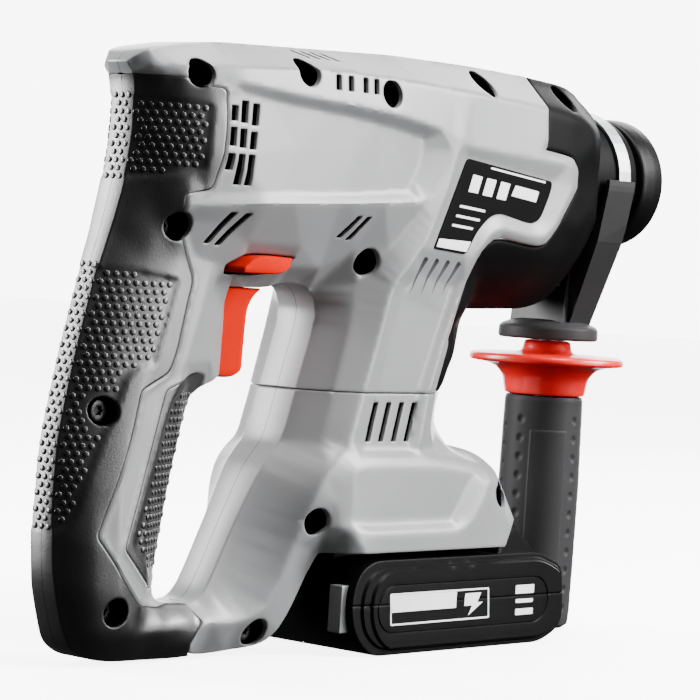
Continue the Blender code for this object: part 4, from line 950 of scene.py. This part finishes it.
# ---- controls
def controls():
    blade = [
        (-86, 107.8), (-84, 106.6), (-75, 106.6), (-70.8, 109.4), (-70.4, 122), (-69.8, 133), (-66.5, 138),
        (-61.5, 141), (-86.5, 141.05), (-92.8, 138), (-92.8, 112),
    ]
    shape = slab(softened(blade, reach=6.0, corner=1.5), 7.6, 1.6, 1.2)
    piece("trigger_blade", shape, "orange_plastic", body="trigger", nodes=["trigger"])
    bar = [(-91.8, 146.8), (-68.5, 146.8), (-62.7, 153.4), (-84.5, 154), (-91.8, 149)]

    def dished(x, z):
        return -2.2 * np.clip((x + 80.0) / 17.0, 0, 1) * np.clip((z - 147.5) / 6.0, 0, 1)

    shape = slab(softened(bar, corner=0.9), 25.4, 1.3, 1.0, dished)
    piece("direction_lever_bar", shape, "orange_plastic", body="direction_lever", nodes=["direction_lever"])


def screws():
    """Pan heads with a six-lobed socket, at the bottom of their holes."""
    under = HEAD_HEIGHT - HEAD_Y
    for name, (x, z) in SCREWS.items():
        lobes = []
        for k in range(36):
            a = 2 * math.pi * k / 36
            radius = 1.45 + 0.35 * math.cos(6 * a)
            lobes.append((x + radius * math.cos(a), z + radius * math.sin(a)))
        head = skin(Flat(HEAD_Y), -1, [circle(x, z, 4.0)], (), [(lobes, 1.6)], (), 0.8, 0.7, floor=-under)
        shank = turned([(under, 3.9), (under, 1.9), (9.5, 1.9), (10.5, 0)], "y", (x, 0, z), 16)
        bottom = turned([(1.4 - HEAD_Y, 2.2), (1.3 - HEAD_Y, 0)], "y", (x, 0, z), 16)
        shape = merged([head, shank, bottom])
        piece(f"screw_{name}_detail", shape, "black_steel", "steel", nodes=[f"screw_{name}"])


# ---- side handle
def side_handle():
    at = (HANDLE_X, 0, 0)
    disc = [
        (133.6, 5.4), (133.5, 12), (132.6, 16.5), (131, 20.3), (129.8, 21.4), (125.6, 21.5), (124.9, 20.6),
        (124.9, 5.4),
    ]
    # its lighter black paints the light on the disc's side
    piece("bracket_disc_turned", turned(rounded_profile(disc[::-1]), "z", at), "black_with_painted_sheen", "black_plastic",
          "side_bracket", ["bracket_disc"])
    guard = [
        (100.9, 12), (100.9, 17), (102.2, 17.5), (108.5, 18.6), (112.2, 21.6), (113.8, 26), (114.4, 31.5),
        (114.8, 33.2), (116.4, 33.5), (118, 32.6), (118.3, 30), (118.5, 14), (119.6, 10.9), (124.3, 9.9),
        (124.3, 4.6), (112, 4.6),
    ]
    piece("side_handle_guard_turned", turned(rounded_profile(guard, 1.6), "z", at, 96), "red_gloss",
          body="side_grip", nodes=["side_handle_guard"])
    side_grip(at)
    # lighter black: painted light on the bracket's shaded side
    frame["nodes"]["side_handle_bracket"].data.materials[0] = LOOKS["black_with_painted_light"]


def bevelled():
    """Rounds the edges of the CAD nodes that show as they are."""
    latches = ("latch_button_right", "latch_button_left")
    for name in ("side_handle_bracket", "clamp_band", "mode_selector", *latches):
        node = frame["nodes"][name]
        weld = node.modifiers.new("weld", "WELD")
        weld.merge_threshold = WELD
        bevel = node.modifiers.new("bevel", "BEVEL")
        bevel.width = BEVEL
        bevel.segments = 3
        bevel.limit_method = "ANGLE"
        bevel.angle_limit = math.radians(35)


def side_grip(at, rows=200, turns=240):
    """Rubber tube with columns of dimples and a plain raised panel between them."""
    profile = [
        (0.8, 14), (2.4, 16.2), (6, 16.7), (30, 17.1), (62, 17.4), (90, 17), (99, 16.8), (100.4, 16.2),
    ]
    zs = np.linspace(0.8, 100.3, rows)
    angles = 2 * math.pi * np.arange(turns) / turns
    base = np.interp(zs, *zip(*profile))
    z, a = np.meshgrid(zs, angles, indexing="ij")
    r = np.repeat(base[:, None], turns, 1)
    panel = math.radians(228.5)
    off = np.abs((a - panel + math.pi) % (2 * math.pi) - math.pi)
    within = np.minimum((math.radians(27.0) - off) * r, np.minimum(z - 7.0, 86.0 - z))
    r = r + 0.4 * np.clip(0.5 + within / 0.5, 0, 1)
    for column in range(9):
        centre = panel + math.radians(43.0 + 34.25 * column)
        off = (a - centre + math.pi) % (2 * math.pi) - math.pi
        for k in range(11):
            level = 90.5 - 8.05 * k - (4.0 if column % 2 else 0.0)
            gap = np.hypot(off * r, z - level)
            r = r - 0.85 * np.clip(1 - (gap / 1.9) ** 2, 0, 1)
    points = [(at[0] + r[i, k] * math.cos(angles[k]), at[1] + r[i, k] * math.sin(angles[k]), zs[i])
              for i in range(rows) for k in range(turns)]
    faces = [(i + k, i + (k + 1) % turns, i + turns + (k + 1) % turns, i + turns + k)
             for i in range(0, (rows - 1) * turns, turns) for k in range(turns)]
    faces.append(tuple(range(turns))[::-1])
    top = turned([(100.3, float(base[-1])), (100.5, 15.5), (100.5, 12.6)], "z", at, turns)
    # its lighter black paints the sheen on the grip
    piece("side_handle_grip_rubber", merged([(points, faces), top]), "black_with_painted_sheen", "black_rubber", "side_grip",
          ["side_handle_grip"])


# ---- chuck
def chuck():
    at = (0, 0, AXIS_Z)
    sleeve = [
        (157, 15.3), (157, 22.4), (151.9, 22.4), (151.9, 25.6), (152.6, 26.8), (154.5, 27.3), (160, 27.8),
        (165.2, 27.7), (166.6, 26.6), (166.8, 24), (166.8, 17.1), (163, 17.1),
    ]
    shape = turned(rounded_profile(sleeve[::-1], 0.9)[::-1], "x", at, 112)
    piece("chuck_sleeve_turned", shape, "black_plastic", body="chuck_sleeve", nodes=["chuck_sleeve"])
    cap = [
        (167.5, 8.8), (167.5, 16.2), (170, 15.8), (173, 14.2), (175, 12.2), (175.5, 10.8), (175.5, 5.6),
        (173.7, 5.3),
    ]
    shape = turned(rounded_profile(cap, 0.9), "x", at)
    piece("dust_cap_turned", shape, "black_rubber", body="spindle", nodes=["dust_cap"])


# ---- battery
PACK_SIDE = [
    (-16.6, 0), (88, 0), (99, 4), (103.6, 9.5), (101.4, 30.5), (95.5, 34), (84, 37.6), (-18, 37.6),
    (-25, 34.5), (-28.8, 29.5), (-30.3, 23), (-30.3, 17), (-28, 10), (-23.5, 4.5),
]


def stadium(left, right, low, high):
    """A flat outline with half-round ends; left and right are its furthest points."""
    radius = (high - low) / 2
    turns = [math.pi * k / 12 - math.pi / 2 for k in range(13)]
    front = [(right - radius + radius * math.cos(a), (low + high) / 2 + radius * math.sin(a)) for a in turns]
    return front + [(left + right - x, low + high - z) for x, z in front]


TERRACE_OUTER = softened([
    (-14, 2.8), (87, 2.8), (97, 6.5), (101, 11), (99, 28.5), (93.5, 31.5), (84, 34.6),
    (-15.5, 34.6), (-21.8, 31), (-25, 25), (-25.4, 17), (-22.5, 9),
], reach=5.0, sharp=80)
TERRACE_INNER = softened([
    (-9, 2), (87, 2), (98.5, 6), (102, 11), (100, 30.5), (84, 36),
    (-11, 33.4), (-17, 30), (-20.6, 24.5), (-20.8, 16), (-17.2, 8),
], reach=5.0, sharp=80)
RACE_SOFT = stadium(-17.4, 90, 9, 27.8)


def terrace(line, x, z, depth):
    """A step down outside a closed line."""
    gap = distance(line, x, z)
    return -depth * np.clip(0.5 - np.where(contains(line, x, z), gap, -gap) / 0.7, 0, 1)


def pack_relief(x, z):
    """Terraced edge, widest at the rear end, and a thin racetrack groove."""
    total = terrace(TERRACE_OUTER, x, z, 1.1) + terrace(TERRACE_INNER, x, z, 1.1)
    return total - 0.5 * np.clip(1 - distance(RACE_SOFT, x, z) / 0.5, 0, 1)


PACK_SOFT = softened(PACK_SIDE, reach=5.0, sharp=80)


def battery():
    over, under = SPLIT_Z + SPLIT_GAP, SPLIT_Z - SPLIT_GAP
    halves = {"upper": [(-80, over), (140, over), (140, 90), (-80, 90)],
              "lower": [(-80, -30), (140, -30), (140, under), (-80, under)]}
    creases = []
    for line in (TERRACE_OUTER, TERRACE_INNER, RACE_SOFT):
        for by in (-0.45, 0.0, 0.45):
            moved = beside(line, by)
            creases.append(moved + moved[:1])
    for word, band in halves.items():
        parts = []
        for side in (-1, 1):
            plate = skin(Flat(PACK_HALF), side, [PACK_SOFT, band], creases=creases, step=1.4, edge=0.35,
                         relief=pack_relief, depth=7.0)
            parts += [plate, pack_body(side, band)]
        if word == "upper":
            parts += rail_tower()
        piece(f"battery_case_{word}_moulding", merged(parts), "black_plastic", body="battery",
              nodes=[f"battery_case_{word}"])
    pack_print()


def pack_body(side, band):
    """The body between the side plates, cut back at the rear corner round the catch."""
    hollow = [(-50, 8.2), (-26.6, 8.2), (-26.6, 29.8), (-50, 29.8)]
    inner = beside(PACK_SOFT, 0.6)
    plate = skin(Flat(31.0), side, [inner, band], [hollow], edge=0.3, step=3.0, depth=8.4)
    core = skin(Flat(22.6), side, [inner, band], edge=0.3, step=4.0, floor=0.0)
    return merged([plate, core])


def rail_tower():
    nose = [(59, 35), (90, 35), (86.5, 38.5), (67.8, 50.6), (61.5, 41.2)]
    wide = [(60, 35), (90, 35), (85.5, 38.4), (69.2, 49.8), (62, 41)]
    nose, wide = (softened(path, reach=2.0, corner=0.8) for path in (nose, wide))
    tower = [(-22, 36), (52, 36), (52, 49), (-22, 49)]
    return [slab(nose, 23.0, 0.6, 2.5), slab(wide, 32.5, 1.2, 2.5), slab(tower, 16.4, 0.6, 4.0)]


def pack_mark(side, path, corner, step=2.5, holes=()):
    """One printed shape on the battery's side."""
    zone = [softened(path, corner=corner)]
    return skin(Flat(PRINT_HIGH), side, zone, (), holes, edge=0.04, step=step, floor=PRINT_LOW)


def pack_print():
    """Generic printed panel on each side: a framed bar with a plain block, and three short bars."""
    border = [(-11, 24.7), (50.4, 24.7), (51.6, 12.2), (-9.8, 12)]
    inner = [(-10.3, 24), (49.7, 24), (50.8, 12.9), (-9.1, 12.7)]
    marks = [
        [(-10.2, 23.9), (30, 23.9), (30, 17.3), (-10.2, 17.2)],
        [(68, 24.8), (80.2, 24.8), (80.2, 21.2), (68, 21.2)],
        [(68.4, 19), (79.8, 19), (79.8, 17.4), (68.4, 17.4)],
        [(68.6, 15), (80.2, 15), (80.2, 12.4), (68.6, 12.4)],
    ]
    bolt = [(35.5, 22.8), (45.6, 22.9), (43.4, 19), (47, 19), (38, 13.8), (40.2, 17.8), (35.2, 17.8)]
    parts = []
    for side in (-1, 1):
        parts.append(pack_mark(side, border, 0.8, holes=[(softened(inner, corner=0.6), 0.05)]))
        parts += [pack_mark(side, mark, 0.4) for mark in marks]
        parts.append(pack_mark(side, bolt, 0.3, 2.0))
    piece("battery_print", merged(parts), "white_print", "label", "battery")


# ---- studio
AZIMUTH, ELEVATION, ROLL = math.radians(-48.5), math.radians(1.88), math.radians(3.58)
CAMERA_AT = (-0.90509, -0.79408, 0.15722)
LENS = 153.96


def camera():
    data = bpy.data.cameras.new("camera")
    data.lens = LENS
    data.sensor_width = 36.0
    data.clip_start = 0.05
    made = linked("camera", data)
    level = math.cos(ELEVATION)
    back = Vector((math.sin(AZIMUTH) * level, -math.cos(AZIMUTH) * level, math.sin(ELEVATION)))
    right = (-back).cross(Vector((0, 0, 1))).normalized()
    up = right.cross(-back)
    across = right * math.cos(ROLL) + up * math.sin(ROLL)
    over = up * math.cos(ROLL) - right * math.sin(ROLL)
    turn = Matrix((across, over, back)).transposed().to_4x4()
    made.matrix_world = Matrix.Translation(CAMERA_AT) @ turn
    bpy.context.scene.camera = made


def lamp(name, at, size, power):
    """A soft lamp that looks at the middle of the tool."""
    data = bpy.data.lights.new(name, "AREA")
    data.shape = "RECTANGLE"
    data.size, data.size_y = size
    data.energy = power
    made = linked(name, data)
    made.location = at
    made.rotation_euler = (Vector(at) - Vector((0, 0, 0.13))).to_track_quat("Z", "Y").to_euler()


def sheet(name, corners, strength):
    """A glowing surface in the look of its own name, unseen by diffuse light."""
    shader = LOOKS[name].node_tree.nodes["Principled BSDF"]
    shader.inputs["Emission Color"].default_value = (1, 1, 1, 1)
    shader.inputs["Emission Strength"].default_value = strength
    mesh = bpy.data.meshes.new(name)
    mesh.from_pydata(corners, [], [(0, 1, 2, 3)])
    mesh.materials.append(LOOKS[name])
    made = linked(name, mesh)
    made.visible_diffuse = False
    return made


def studio():
    world = bpy.data.worlds.new("studio")
    bpy.context.scene.world = world
    world.use_nodes = True
    backdrop = world.node_tree.nodes["Background"]
    backdrop.inputs["Color"].default_value = (1, 1, 1, 1)
    backdrop.inputs["Strength"].default_value = 0.05
    lamp("left", (-0.92, 1.1, 0.45), (0.5, 1.2), 76.0)
    lamp("top", (0.2, -0.12, 1.35), (1.6, 0.45), 44.0)
    lamp("key", (0.86, -0.92, 0.92), (0.5, 0.7), 62.0)
    lamp("side", (0.78, -1.2, 0.38), (0.35, 0.9), 24.0)
    lamp("strip", (0.25, -1.42, 0.4), (0.16, 1), 9.0)
    lamp("rim", (1.3, 0.4, 0.5), (0.4, 1.1), 8.0)
    size, half = 6.0, 2.4
    moulded("floor", (0.86, 0.86, 0.86), 0.6, grain=60.0, bump=0.05, spread_by=0.01)
    floor = sheet("floor", [(-size, -size, 0), (size, -size, 0), (size, size, 0), (-size, size, 0)], 5.5)
    floor.visible_glossy = False
    away = Vector((0.749, 0.662, 0))
    across = away.cross(Vector((0, 0, 1))) * half
    away *= size - 0.1
    corners = [away + across * k + Vector((0, 0, z)) for k, z in ((-1, -1), (1, -1), (1, 4), (-1, 4))]
    new_look("backdrop", (0.9, 0.9, 0.9), 0.8)
    screen = sheet("backdrop", corners, 8.0)


# ---- everything
def main():
    dress_nodes()
    for side, word in ((-1, "right"), (1, "left")):
        upper_housing(side, word)
        bores = [p for p, _ in screw_mouths(n for n in SCREWS if n not in GEAR_SCREWS)]
        # inner wall in flat black: painted shade behind the vents
        painted_shade_lining(f"housing_{word}_lining", UPPER, side, UPPER_OUTLINE, [LEVER_OUTLINE, TRIGGER_SLOT, *bores])
        rubber_grips(side, word)
        base_housing(side, word)
    screw_tubes(UPPER, UPPER_SCREWS, "upper")
    screw_tubes(BASE, BASE_SCREWS, "base")
    screw_tubes(GEARS, GEAR_SCREWS, "front")
    gear_housing()
    nameplate()
    controls()
    screws()
    side_handle()
    bevelled()
    chuck()
    battery()
    camera()
    studio()


main()
